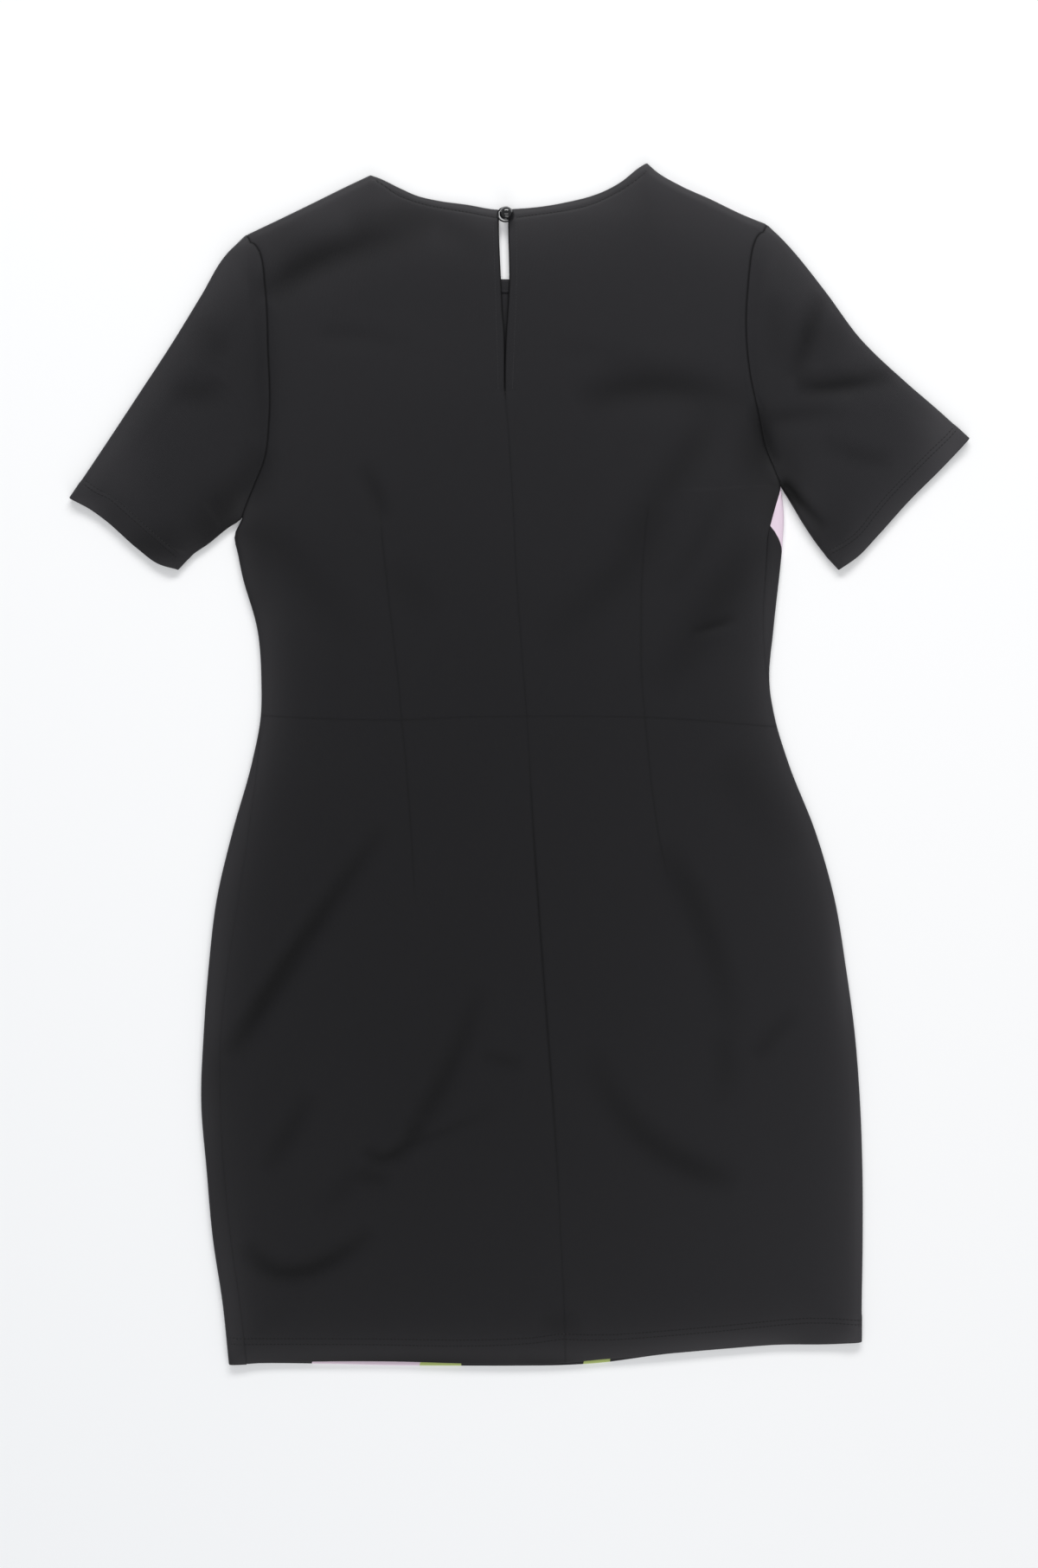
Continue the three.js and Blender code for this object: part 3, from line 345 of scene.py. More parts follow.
def nearest(chain, x, y):
    """Distance from each place to a chain of straight steps, how far along the chain the nearest place
    lies, from 0 to 1, and the side of the chain, +1 on the left."""
    away = np.full(x.shape, np.inf)
    along, side = np.zeros(x.shape), np.ones(x.shape)
    count = len(chain) - 1
    for i in range(count):
        (ax, ay), (bx, by) = chain[i], chain[i + 1]
        dx, dy = bx - ax, by - ay
        t = np.clip(((x - ax) * dx + (y - ay) * dy) / (dx * dx + dy * dy), 0, 1)
        ox, oy = x - ax - t * dx, y - ay - t * dy
        d = np.hypot(ox, oy)
        closer = d < away
        away = np.where(closer, d, away)
        along = np.where(closer, (i + t) / count, along)
        side = np.where(closer, np.sign(dx * oy - dy * ox), side)
    return away, along, side


def chain_of(x, y):
    return np.stack([np.asarray(x, float), np.asarray(y, float)], axis=1)


def side_chain(edge, top):
    """The folded side from hem to armpit."""
    y = np.append(body_sections["y"][body_sections["y"] < top], top)
    return chain_of(edge(y), y)


folded_outlines = [
    side_chain(edge_left, armpit_y["left"]), side_chain(edge_right, armpit_y["right"]),
    *(chain_of(t["x"], t["y"]) for t in (left_shoulder, right_shoulder)),
    *(chain_of(s[k]["x"], s[k]["y"]) for s in (left_sleeve, right_sleeve) for k in ("outer", "under"))]

# Lines that sewing draws down a little: chain, half width, depth
steps = np.linspace(0, 1, 15)


def rail(line, low, high):
    y = mix(low, high, steps)
    return chain_of(lines[line](y), y)


drawn_lines = [
    (chain_of(*arms["left"](steps)), 4.5, 0.55), (chain_of(*arms["right"](steps)), 4.5, 0.55),
    (rail("left_centre", -310, 20), 2.0, 0.1),
    (chain_of(left_neck_stitches["x"], left_neck_stitches["y"]), 1.4, 0.28),
    (chain_of(right_neck_stitches["x"], right_neck_stitches["y"]), 1.4, 0.28),
    (chain_of(bartack["x"], bartack["y"]), 1.6, 0.4)]


outlines = folded_outlines + [chain_of(t["x"], t["y"])
                              for t in (back_hem, back_neck, left_sleeve["cuff"], right_sleeve["cuff"])]


def rim_at(x, y):
    """Painted highlight near the outline: exp(-d/reach) at distance d from the dress's outline, whose reach grows
    towards the shoulders.
    """
    top = np.clip((y - 330) / 80, 0, 1)
    away = np.min([nearest(chain, x, y)[0] for chain in outlines], axis=0)
    return mix(0.64, 0.86, top) * np.exp(-away / mix(RIM_REACH, TOP_REACH, top))


def tone_at(x, y):
    """The sum of the table's soft spots of painted light and shade: amount times exp(-(dx/across)^2 - (dy/up)^2).
    """
    return sum(amount * np.exp(-((x - x0) / across) ** 2 - ((y - y0) / up) ** 2)
               for x0, y0, across, up, amount in zip(*painted_light_spots.values()))


def along(rows, count=160, key="y"):
    x = np.linspace(rows["x"][0], rows["x"][-1], count)
    return x, column(rows, key, "x")(x)


def on_path(rows, count=120):
    return Path(rows)(np.linspace(0, 1, count))


def shifted(rows, offset, count=120):
    """A path moved sideways, to its left, by offset."""
    x, y = on_path(rows, count)
    dx, dy = np.gradient(x), np.gradient(y)
    size = np.hypot(dx, dy)
    return x - dy / size * offset, y + dx / size * offset


hem_rows = [along(hem_stitches, 300, key) for key in ("low", "high")]
cuff_rows = {side: [on_path(t["stitch"]), shifted(t["stitch"], inward)]
             for side, t, inward in (("left", left_sleeve, -3.0), ("right", right_sleeve, 3.0))}
neck_rows = {"left": on_path(left_neck_stitches), "right": on_path(right_neck_stitches)}
slit_rows = {side: on_path(slit_stitches[side]) for side in ("left", "right")}


def thinned(row, count=24):
    return chain_of(*row)[np.linspace(0, len(row[0]) - 1, count).astype(int)]


hem_chains = [thinned(row) for row in hem_rows]
cuff_chains = {side: [thinned(row) for row in rows] for side, rows in cuff_rows.items()}
neck_chains = {side: thinned(row) for side, row in neck_rows.items()}


def bend(crease, count=8):
    """The crease's line: the parabola through its three places."""
    t = np.linspace(0, 1, count + 1)
    a, b, c = (1 - t) * (1 - 2 * t), 4 * t * (1 - t), t * (2 * t - 1)
    return chain_of(*(a * crease[k + "0"] + b * crease[k + "1"] + c * crease[k + "2"] for k in "xy"))


crease_rows = [dict(zip(creases, row)) for row in zip(*creases.values())]
crease_chains = [(row, bend(row)) for row in crease_rows]


def close_to(chain, reach, x, y):
    """Which places lie within reach of the chain's box."""
    (x0, y0), (x1, y1) = chain.min(0) - reach, chain.max(0) + reach
    return np.nonzero((x > x0) & (x < x1) & (y > y0) & (y < y1))[0]


def lift(x, y):
    """Height of the middle of the upper layer: its lie, plus a fullness exp(-(d/spread)^2) at distance d
    from the folded outline, plus slow sine waves, less the sewn lines' troughs exp(-(d/w)^2), and less
    each crease: the same trough with a steeper flank on one side, a low ridge beside it, and a depth
    that grows from one end to its peak and dies out at the other."""
    x, y = np.broadcast_arrays(np.asarray(x, float), np.asarray(y, float))
    shape = x.shape
    x, y = x.ravel(), y.ravel()
    away = np.min([nearest(chain, x, y)[0] for chain in folded_outlines], axis=0)
    z = UPPER_LIE + EDGE_RISE * np.exp(-(away / EDGE_SPREAD) ** 2)
    calm = 1 - np.exp(-(away / EDGE_SPREAD) ** 2)
    for kx, ky, start, height in zip(*waves.values()):
        z = z + calm * height * np.sin(kx * x + ky * y + start)
    for chain, width, depth in drawn_lines:
        near = close_to(chain, 3 * width, x, y)
        z[near] -= depth * np.exp(-(nearest(chain, x[near], y[near])[0] / width) ** 2)
    for row, chain in crease_chains:
        near = close_to(chain, 4 * row["width"], x, y)
        d, along, side = nearest(chain, x[near], y[near])
        width = row["width"] * (1 - 0.45 * row["lean"] * side)
        rising = np.minimum(along / row["peak"], (1 - along) / (1 - row["peak"]))
        strength = row["depth"] * np.sin(rising * math.pi / 2) ** 0.7
        ridge = 0.15 * np.exp(-((d - 2.1 * width) / (0.9 * width)) ** 2)
        z[near] += strength * (ridge - np.exp(-(d / width) ** 2))
    return np.maximum(z, LOWEST_LIE - 0.3).reshape(shape)


def hollow_at(x, y):
    """How deep in a crease each place lies, from 0 to 1, as the amount of painted shade there: the creases' own
    troughs without their ridges.
    """
    hollow = np.zeros(x.shape)
    for row, chain in crease_chains:
        near = close_to(chain, 3 * row["width"], x, y)
        d, along, side = nearest(chain, x[near], y[near])
        rising = np.minimum(along / row["peak"], (1 - along) / (1 - row["peak"]))
        hollow[near] += row["depth"] / 2 * np.sin(rising * math.pi / 2) ** 0.7 * np.exp(-(d / row["width"]) ** 2)
    return np.minimum(hollow, 1)


def body_row(band, t, front=False):
    """Rows across the body at the shares t of a band, t being a column: their two ends, the bow, which is
    the row's height over the straight line between its ends, and in the yoke the turn over the top edge."""
    hem, top = hem_heights[front], top_heights[front]

    def row_ends(left_y, right_y):
        return {"left_x": edge_left(left_y) + WALL / 2, "left_y": left_y,
                "right_x": edge_right(right_y) - WALL / 2, "right_y": right_y}

    def bow(height, e):
        return lambda part: height(mix(e["left_x"], e["right_x"], part)) - mix(e["left_y"], e["right_y"], part)

    hem_ends = row_ends(hem(back_hem["x"][0]), hem(back_hem["x"][-1]))
    waist_ends = row_ends(waist["y"][0], waist["y"][-1])
    waist_bow = bow(waist_height, waist_ends)
    if band == "skirt":
        hem_bow = bow(hem, hem_ends)
        ends = row_ends(mix(hem_ends["left_y"], waist_ends["left_y"], t),
                        mix(hem_ends["right_y"], waist_ends["right_y"], t))
        return {**ends, "bow": lambda part: mix(hem_bow(part), waist_bow(part), t)}
    if band == "midriff":
        ends = row_ends(mix(waist_ends["left_y"], armpit_y["left"], t),
                        mix(waist_ends["right_y"], armpit_y["right"], t))
        return {**ends, "bow": lambda part: (1 - t) * waist_bow(part)}
    drop, inset = (0, 0) if front else (TOP_DROP, WALL / 2)
    turn = np.clip(t - 1, 0, 1) * math.pi / 2
    below = inset + drop * (1 - np.sin(turn))
    level = np.minimum(t, 1)
    (lx, ly), (rx, ry) = (arms[k](level * (1 - below / arms[k].length)) for k in ("left", "right"))
    crown = dict(zip(("left_x", "left_y", "right_x", "right_y"), (*arms["left"](1), *arms["right"](1))))
    crown_bow = bow(top, crown)
    settle = np.clip((t - 0.85) / 0.15, 0, 1)

    def yoke_bow(part):
        shift = mix(crown["left_y"] - ly, crown["right_y"] - ry, part) - below
        return level ** CROWN_SHARING * (crown_bow(part) + settle * shift)
    return {"left_x": lx, "left_y": ly, "right_x": rx, "right_y": ry, "turn": turn, "bow": yoke_bow}


def fold_radius(side, y):
    """The fold at the side opens from the armpit down."""
    return mix(CROTCH_ROLL, ROLL, np.minimum((armpit_y[side] - y) / CROTCH_RUN, 1))


def body_point(band, t, w, front=False):
    """Middle of the cloth at distance w along the rows t, from the left fold: over the upper layer where w
    is positive, underneath where it is negative, and past the right fold underneath again. Each fold is a
    quarter circle seen from above, and its height runs from 0 to 1 as half of 1 plus or minus the sine."""
    row = body_row(band, t, front)
    width = row["right_x"] - row["left_x"]

    def place(x, height):
        part = (x - row["left_x"]) / width
        y = mix(row["left_y"], row["right_y"], part) + row["bow"](part)
        return np.stack(np.broadcast_arrays(x, y, height(x, y)), axis=2)

    if band == "yoke":
        x = row["left_x"] + np.abs(w)
        if front:
            return place(x, lambda px, py: np.full(px.shape, LOWER_LIE))
        return place(x, lambda px, py: TOP_RIM + (lift(px, py) - TOP_RIM) * np.cos(row["turn"]))
    left, right = fold_radius("left", row["left_y"]), fold_radius("right", row["right_y"])
    along = width + (left + right) * (math.pi / 2 - 1)
    upper = (w >= 0) & (w <= along)
    s = np.where(upper, w, np.where(w < 0, -w, 2 * along - w))
    turn_left = np.minimum(s / left, math.pi / 2)
    turn_right = np.minimum((along - s) / right, math.pi / 2)
    x = np.where(turn_left < math.pi / 2, row["left_x"] + left * (1 - np.cos(turn_left)),
                 np.where(turn_right < math.pi / 2, row["right_x"] - right * (1 - np.cos(turn_right)),
                          row["left_x"] + left + s - left * math.pi / 2))
    turn = np.minimum(turn_left, turn_right)
    share = (1 + np.where(upper, 1, -1) * np.sin(turn)) / 2
    return place(x, lambda px, py: LOWER_LIE + (lift(px, py) - LOWER_LIE) * share)


def start_of_flat(band, row):
    """How much longer the cloth is than its shadow where it rounds the left fold."""
    return 0.0 if band == "yoke" else fold_radius("left", row["left_y"]) * (math.pi / 2 - 1)


def crossing(band, t, line, front=False):
    """Where a line of the pattern crosses each row, as a distance along the row."""
    row = body_row(band, t, front)
    width = row["right_x"] - row["left_x"]
    x = line((row["left_y"] + row["right_y"]) / 2)
    for _ in range(6):
        part = (x - row["left_x"]) / width
        x = line(mix(row["left_y"], row["right_y"], part) + row["bow"](part))
    return x - row["left_x"] + start_of_flat(band, row)


def row_length(band, t, front=False):
    """Length of each row of the upper layer from one fold to the other."""
    row = body_row(band, t, front)
    width = row["right_x"] - row["left_x"]
    if band == "yoke":
        return width
    radii = fold_radius("left", row["left_y"]) + fold_radius("right", row["right_y"])
    return width + radii * (math.pi / 2 - 1)


def round_fold(distance, radius):
    """A distance round the part's folded side, as one round the cloth's softer fold: both lie at the same
    offset e from the side, where distance is radius * acos(1 - e / radius) on the rounding, and beyond it
    e plus what the quarter circle is longer than its radius."""
    far = np.abs(distance)
    turn = np.minimum(far / PART_ROLL, math.pi / 2)
    e = np.where(far < PART_ROLL * math.pi / 2, PART_ROLL * (1 - np.cos(turn)),
                 far - PART_ROLL * (math.pi / 2 - 1))
    on_it = radius * np.arccos(1 - np.minimum(e / radius, 1))
    return np.sign(distance) * np.where(e < radius, on_it, e + radius * (math.pi / 2 - 1))


def upper_ends(band, t):
    """Where the upper layer starts and ends on each row: at the side seams, or at the armholes."""
    row, length = body_row(band, t), row_length(band, t)
    if band == "yoke":
        return np.full_like(length, HALF), length - HALF
    left, right = (round_fold(seam(row[side + "_y"]), fold_radius(side, row[side + "_y"]))
                   for seam, side in ((seam_left, "left"), (seam_right, "right")))
    return left + HALF, length - right - HALF


def spread(start, end, spots, step, count=None):
    """Places from start to end on every row: a steady step, drawn closer as 1 / closest * exp(-(d/reach)^2)
    round each spot (its place, reach and closest step)."""
    start, end = (np.atleast_2d(np.asarray(v, float)).reshape(-1, 1) for v in (start, end))
    w = mix(start, end, np.linspace(0, 1, 901))
    density = np.full(w.shape, 1 / step)
    for spot, reach, closest in spots:
        density += np.exp(-((w - spot) / reach) ** 2) / closest
    run = (density[:, 1:] + density[:, :-1]) / 2 * np.abs(np.diff(w, axis=1))
    run = np.concatenate([np.zeros((len(w), 1)), np.cumsum(run, axis=1)], axis=1)
    count = count or int(round(run[:, -1].mean()))
    want = np.linspace(0, 1, count + 1)
    return np.array([np.interp(want, r / r[-1], p) for r, p in zip(run, w)])


def places(length, spots, step=STEP):
    return spread(0, length, spots, step)[0]


skirt_length = waist["y"][0] - back_hem["y"][0]
midriff_length = armpit_y["left"] - waist["y"][0]
hem_spots = [(0, 1.6, 0.6), (17, 5, 2.0)]


def shares(length, spots, step, start=0, end=0):
    """Rows of a band as shares of its height, less the seams' clearances at its start and end."""
    return (start + places(length - start - end, spots, step))[:, None] / length


def band_rows(step, front):
    seam = [] if front else [(0, 3, 0.8)]
    top = [] if front else [(arms["left"].length - 7, 6, 1.3)]
    skirt = shares(skirt_length, hem_spots + ([] if front else [(skirt_length, 3, 0.8)]), step, 0, HALF)
    midriff = shares(midriff_length, seam, step, HALF, 0)
    yoke = shares(arms["left"].length, top, step)[1:]
    if not front:
        yoke = np.concatenate([yoke, np.linspace(1, 2, 7)[1:, None]])
    return {"skirt": skirt, "midriff": midriff, "yoke": yoke}


def over(rows, function):
    """A function of band and rows, worked out for several bands and stacked."""
    return np.concatenate([function(band, t) for band, t in rows])


def runs(at):
    """Distance of every point from the grid's four sides, along the grid."""
    across = np.cumsum(np.linalg.norm(np.diff(at, axis=1), axis=2), axis=1)
    up = np.cumsum(np.linalg.norm(np.diff(at, axis=0), axis=2), axis=0)
    across, up = np.pad(across, ((0, 0), (1, 0))), np.pad(up, ((1, 0), (0, 0)))
    return {"start": across, "end": across[:, -1:] - across, "bottom": up, "top": up[-1:] - up}


def groove(distance, depth):
    """How far a sewn edge turns down, or how dark its painted shade is: depth times exp(-(d/reach)^2)."""
    return depth * np.exp(-(distance / GROOVE_REACH) ** 2)


def rounded(distance, radius=EDGE_ROUND):
    """Share of the wall that is left near a turned edge: a quarter circle, never quite closed."""
    return np.maximum(np.sqrt(1 - np.clip(1 - distance / radius, 0, 1) ** 2), 0.12)


def doubled(distance, depth=HEM_DEPTH, extra=HEM_EXTRA):
    """Extra height of a turned-up hem, ending in a short step."""
    return extra / (1 + np.exp(np.clip((distance - depth) / 0.6, -30, 30)))


def new_piece(name, mesh, material):
    """Object for a finished mesh, at the origin, riding on the dress."""
    mesh.materials.append(material)
    piece = bpy.data.objects.new(name, mesh)
    bpy.context.scene.collection.objects.link(piece)
    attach(piece, "root")
    return piece


def new_mesh(name, points, quads, cut=None, fields=None, smooth=None):
    """Mesh of points in millimetres and four-sided faces, the first of them smooth, with the flat cut as
    its UV map and one number per point for each field."""
    mesh = bpy.data.meshes.new(name)
    mesh.vertices.add(len(points))
    mesh.vertices.foreach_set("co", (points * MM).astype(np.float32).ravel())
    mesh.loops.add(quads.size)
    mesh.loops.foreach_set("vertex_index", quads.astype(np.int32).ravel())
    mesh.polygons.add(len(quads))
    mesh.polygons.foreach_set("loop_start", np.arange(0, quads.size, 4, dtype=np.int32))
    mesh.update(calc_edges=True)
    mesh.polygons.foreach_set("use_smooth", np.arange(len(quads)) < (smooth or len(quads)))
    if cut is not None:
        mesh.uv_layers.new(name="cut").data.foreach_set("uv", (cut * MM).astype(np.float32).ravel())
    for key, values in (fields or {}).items():
        mesh.attributes.new(key, "FLOAT", "POINT").data.foreach_set("value", values.astype(np.float32))
    mesh.validate()
    return mesh


def facing_of(at, out, closed):
    """Outward direction of a grid: the cross product of its two directions."""
    if closed:
        across = np.roll(at, -1, axis=1) - np.roll(at, 1, axis=1)
    else:
        across = np.gradient(at, axis=1)
    direction = np.cross(across, np.gradient(at, axis=0))
    return out * direction / np.linalg.norm(direction, axis=2, keepdims=True)


def cloth(name, at, out, top, bottom, cut, material, stitch_rows, fields, closed=False):
    """Closed shell of cloth on a grid of middle points: an outer skin at top and an inner one at bottom,
    both measured along the outward direction, and rims that join them. It carries the distances from two
    rows of stitches, the painted highlight near the outline and at the lighter soft spots, and the painted
    shade in the creases and at the darker soft spots. The wrong side of the cloth is inside, save where a
    hem turns the right side in. The rims have corners of their own, so that the cut edges stay crisp and
    the skins' shading runs level up to them."""
    n, m = at.shape[:2]
    direction = facing_of(at, out, closed)
    skins = np.concatenate([(at + direction * offset[..., None]).reshape(-1, 3) for offset in (top, bottom)])
    skins[:, 2] = np.maximum(skins[:, 2], 0)

    def corner(j, i, layer):
        return np.stack(np.broadcast_arrays(j, i, layer), axis=-1).reshape(-1, 3)

    def faces(*corners):
        return np.stack([corner(*c) for c in corners], axis=1)

    j, i = np.meshgrid(np.arange(n - 1), np.arange(m if closed else m - 1), indexing="ij")
    k, q = np.arange(m if closed else m - 1), np.arange(n - 1)
    parts = [
        faces((j, i, 0), (j, i + 1, 0), (j + 1, i + 1, 0), (j + 1, i, 0)),
        faces((j, i, 1), (j + 1, i, 1), (j + 1, i + 1, 1), (j, i + 1, 1)),
        faces((0, k, 0), (0, k, 1), (0, k + 1, 1), (0, k + 1, 0)),
        faces((n - 1, k + 1, 0), (n - 1, k + 1, 1), (n - 1, k, 1), (n - 1, k, 0))]
    if not closed:
        parts += [
            faces((q + 1, 0, 0), (q + 1, 0, 1), (q, 0, 1), (q, 0, 0)),
            faces((q, m - 1, 0), (q, m - 1, 1), (q + 1, m - 1, 1), (q + 1, m - 1, 0))]
    corners = np.concatenate(parts)
    if out < 0:
        corners = corners[:, ::-1]
    row, place, layer = corners[..., 0], corners[..., 1], corners[..., 2]
    quads = layer * (n * m) + row * m + place % m
    rim = quads[2 * j.size:]
    edge, back = np.unique(rim, return_inverse=True)
    quads[2 * j.size:] = 2 * n * m + back.reshape(rim.shape)
    skins = np.concatenate([skins, skins[edge]])
    u, v = cut
    uv = np.stack([u[row, place], v[row, place % m]], axis=-1)
    doubled_fields = {key: np.tile(f.ravel(), 2) for key, f in {"inside": np.ones((n, m)), **fields}.items()}
    doubled_fields["inside"][:n * m] = 0
    x, y, z = at.reshape(-1, 3).T
    tone = tone_at(x, y)
    # painted highlight: near the outline, and at the lighter soft spots
    doubled_fields["rim"] = np.tile(rim_at(x, y) + np.maximum(tone, 0), 2)
    # painted shade: in the creases of the upper layer only, and at the darker soft spots
    doubled_fields["hollow"] = np.tile(hollow_at(x, y) * np.clip((z - 1) / 0.6, 0, 1) - np.minimum(tone, 0), 2)
    for key, row in (("first_row", 0), ("second_row", 1)):
        away, _, side = nearest(stitch_rows[row], x, y)
        doubled_fields[key] = np.tile(away * side * MM, 2)
    doubled_fields = {key: np.concatenate([f, f[edge]]) for key, f in doubled_fields.items()}
    mesh = new_mesh(name, skins, quads, uv.reshape(-1, 2), doubled_fields, 2 * j.size)
    return new_piece(name, mesh, material)


# Shader maths
class Value:
    """A number socket that takes part in sums: each operator adds one Math node."""

    def __init__(self, look, socket):
        self.look, self.socket = look, socket

    def math(self, operation, *others):
        return self.look.node("ShaderNodeMath", {"operation": operation}, dict(enumerate((self, *others))))

    def __add__(self, other):
        return self.math("ADD", other)

    __radd__ = __add__

    def __mul__(self, other):
        return self.math("MULTIPLY", other)

    __rmul__ = __mul__

    def __sub__(self, other):
        return self.math("SUBTRACT", other)

    def __rsub__(self, other):
        return self.look.node("ShaderNodeMath", {"operation": "SUBTRACT"}, {0: other, 1: self})

    def __truediv__(self, other):
        return self.math("DIVIDE", other)

    def sine(self):
        return self.math("SINE")

    def size(self):
        return self.math("ABSOLUTE")

    def clear(self):
        """Kept between 0 and 1."""
        return self.math("MINIMUM", 1.0).math("MAXIMUM", 0.0)


class Look:
    """One material: a Principled shader and the nodes that feed it."""

    def __init__(self, name, **constants):
        self.material = bpy.data.materials.new(name)
        self.material.use_nodes = True
        self.tree = self.material.node_tree
        self.shader = self.tree.nodes["Principled BSDF"]
        for key, value in constants.items():
            self.shader.inputs[key.replace("_", " ").title().replace("Ior", "IOR")].default_value = value

    def node(self, kind, settings=None, inputs=None, output=0):
        """A node of a type, with its settings and the values or links of its sockets."""
        made = self.tree.nodes.new(kind)
        for key, value in (settings or {}).items():
            if key == "stops":
                ramp = made.color_ramp
                for stop, (position, colour) in zip([ramp.elements[0], ramp.elements[1]]
                                                    + [ramp.elements.new(0.5) for _ in value[2:]], value):
                    stop.position, stop.color = position, colour
            else:
                setattr(made, key, value)
        for key, value in (inputs or {}).items():
            self.plug(made.inputs[key], value)
        return Value(self, made.outputs[output])

    def plug(self, socket, value):
        if isinstance(value, Value):
            self.tree.links.new(value.socket, socket)
        else:
            socket.default_value = value

    def feed(self, name, value):
        self.plug(self.shader.inputs[name], value)

    def blend(self, a, b, amount):
        """Colour between a and b."""
        return self.node("ShaderNodeMix", {"data_type": "RGBA"}, {0: amount, 6: a, 7: b}, 2)

    def noise(self, scale, detail=2.0, where=None, roughness=0.5):
        inputs = {"Scale": scale, "Detail": detail, "Roughness": roughness}
        if where is not None:
            inputs["Vector"] = where
        return self.node("ShaderNodeTexNoise", None, inputs)

    def number(self, name):
        """The piece's own field of that name."""
        return self.node("ShaderNodeAttribute", {"attribute_name": name}, None, 2)


def knit(name, printed=False):
    """Smooth double knit: near-black, with fine wales of loops along the cut, a soft sheen and a slightly
    uneven tone. Painted light makes it lighter away from the middle, towards the outline and at the
    shoulders; painted shade makes it darker in the creases, along seams and at rows of stitches; and listed
    soft spots are painted lighter or darker."""
    look = Look(name, roughness=0.5, specular_ior_level=0.15, sheen_weight=0.04, sheen_roughness=0.4,
                sheen_tint=(0.82, 0.82, 0.9, 1.0))
    own = look.node("ShaderNodeTexCoord", None, None, 3)
    flat = look.node("ShaderNodeUVMap", {"uv_map": "cut"})
    parts = look.node("ShaderNodeSeparateXYZ", None, {0: flat})
    u, v = parts, Value(look, parts.socket.node.outputs[1])
    tone = look.noise(9.0, 3.0, own)
    mottle = look.noise(55.0, 4.0, own, 0.6)
    shade = (0.72 + 0.36 * tone + 0.16 * mottle).clear()
    black = look.blend((0.0036, 0.0036, 0.0045, 1), (0.0070, 0.0069, 0.0082, 1), shade)
    x = look.node("ShaderNodeSeparateXYZ", None, {0: own})
    y = Value(look, x.socket.node.outputs[1])
    # painted light: the cloth is painted lighter away from the middle of the dress, most towards the sleeves and
    # shoulders
    painted_light = (x * x * 2.8 + x * 0.34 + y * y * 1.1 + y * 0.3 - x * y * 0.45 + 0.05).clear()
    colour = look.blend(black, (0.0310, 0.0304, 0.0340, 1), painted_light)
    # painted highlight near the outline and shoulders, and at the lighter soft spots
    colour = look.blend(colour, (0.045, 0.0435, 0.047, 1), look.number("rim").clear())
    # painted shade in the creases and at the darker soft spots
    colour = look.blend(colour, (0.0010, 0.0010, 0.0014, 1), (look.number("hollow") * 0.85).clear())
    # painted shade along the seams' grooves
    colour = look.blend(colour, (0.0006, 0.0006, 0.0008, 1), look.number("seam").clear())
    if printed:
        pink = look.blend((0.69, 0.56, 0.66, 1), (0.78, 0.64, 0.75, 1), shade)
        lime = look.blend((0.39, 0.48, 0.14, 1), (0.47, 0.56, 0.19, 1), shade)
        outer = 1.0 - look.number("inside")
        colour = look.blend(colour, lime, ((look.number("lime") * 2.0 + 0.5).clear() * outer).clear())
        colour = look.blend(colour, pink, ((look.number("pink") * 2.0 + 0.5).clear() * outer).clear())
    # painted shade along the rows of stitches, broken into dashes
    dash = (u * (2000 * math.pi / STITCH)).sine() * 0.3 + 0.45
    sewn = ((1.0 - look.number("first_row").size() * 1600).clear()
            + (1.0 - look.number("second_row").size() * 1600).clear()).clear() * dash
    colour = look.blend(colour, (0.0006, 0.0006, 0.0008, 1), sewn)
    look.feed("Base Color", colour)
    look.feed("Roughness", 0.45 + 0.08 * mottle)
    wale = (u * (math.pi / WALE)).sine().size()
    course = ((v + wale * (COURSE * 0.45)) * (2 * math.pi / COURSE)).sine()
    fuzz = look.noise(1400.0, 2.0, own)
    height = wale * 0.8 + course * 0.3 + fuzz * 0.8 + mottle * 1.4 - sewn * 2.0
    look.feed("Normal", look.node("ShaderNodeBump", None, {"Strength": 0.3, "Distance": 0.0002, "Height": height}))
    return look.material


def thread_look():
    """Polyester sewing thread with a faint twist."""
    look = Look("sewing_thread", roughness=0.5, specular_ior_level=0.4, sheen_weight=0.2)
    own = look.node("ShaderNodeTexCoord", None, None, 3)
    twist = look.noise(2600.0, 1.0, own)
    look.feed("Base Color", look.blend((0.008, 0.008, 0.009, 1), (0.018, 0.018, 0.020, 1), twist))
    look.feed("Normal", look.node("ShaderNodeBump", None, {"Strength": 0.3, "Distance": 0.0001, "Height": twist}))
    return look.material


def button_look():
    """Polished black plastic, with the faintest handling marks."""
    look = Look("polished_black", roughness=0.08, specular_ior_level=0.5, coat_weight=0.6, coat_roughness=0.03)
    own = look.node("ShaderNodeTexCoord", None, None, 3)
    marks = look.noise(900.0, 4.0, own, 0.7)
    look.feed("Base Color", look.blend((0.004, 0.004, 0.005, 1), (0.008, 0.008, 0.009, 1), marks))
    look.feed("Roughness", 0.06 + 0.07 * marks)
    look.feed("Normal", look.node("ShaderNodeBump", None, {"Strength": 0.02, "Distance": 0.0002, "Height": marks}))
    return look.material


def cord_look():
    """Covered elastic of the loop: dark, with a fine slanting wrap."""
    look = Look("loop_cord", roughness=0.55, specular_ior_level=0.2, sheen_weight=0.04)
    flat = look.node("ShaderNodeUVMap", {"uv_map": "cut"})
    parts = look.node("ShaderNodeSeparateXYZ", None, {0: flat})
    u, v = parts, Value(look, parts.socket.node.outputs[1])
    wrap = ((u + v) * (2 * math.pi / 0.0006)).sine() * 0.5 + 0.5
    look.feed("Base Color", look.blend((0.006, 0.006, 0.007, 1), (0.016, 0.016, 0.018, 1), wrap))
    look.feed("Normal", look.node("ShaderNodeBump", None, {"Strength": 0.4, "Distance": 0.0001, "Height": wrap}))
    return look.material


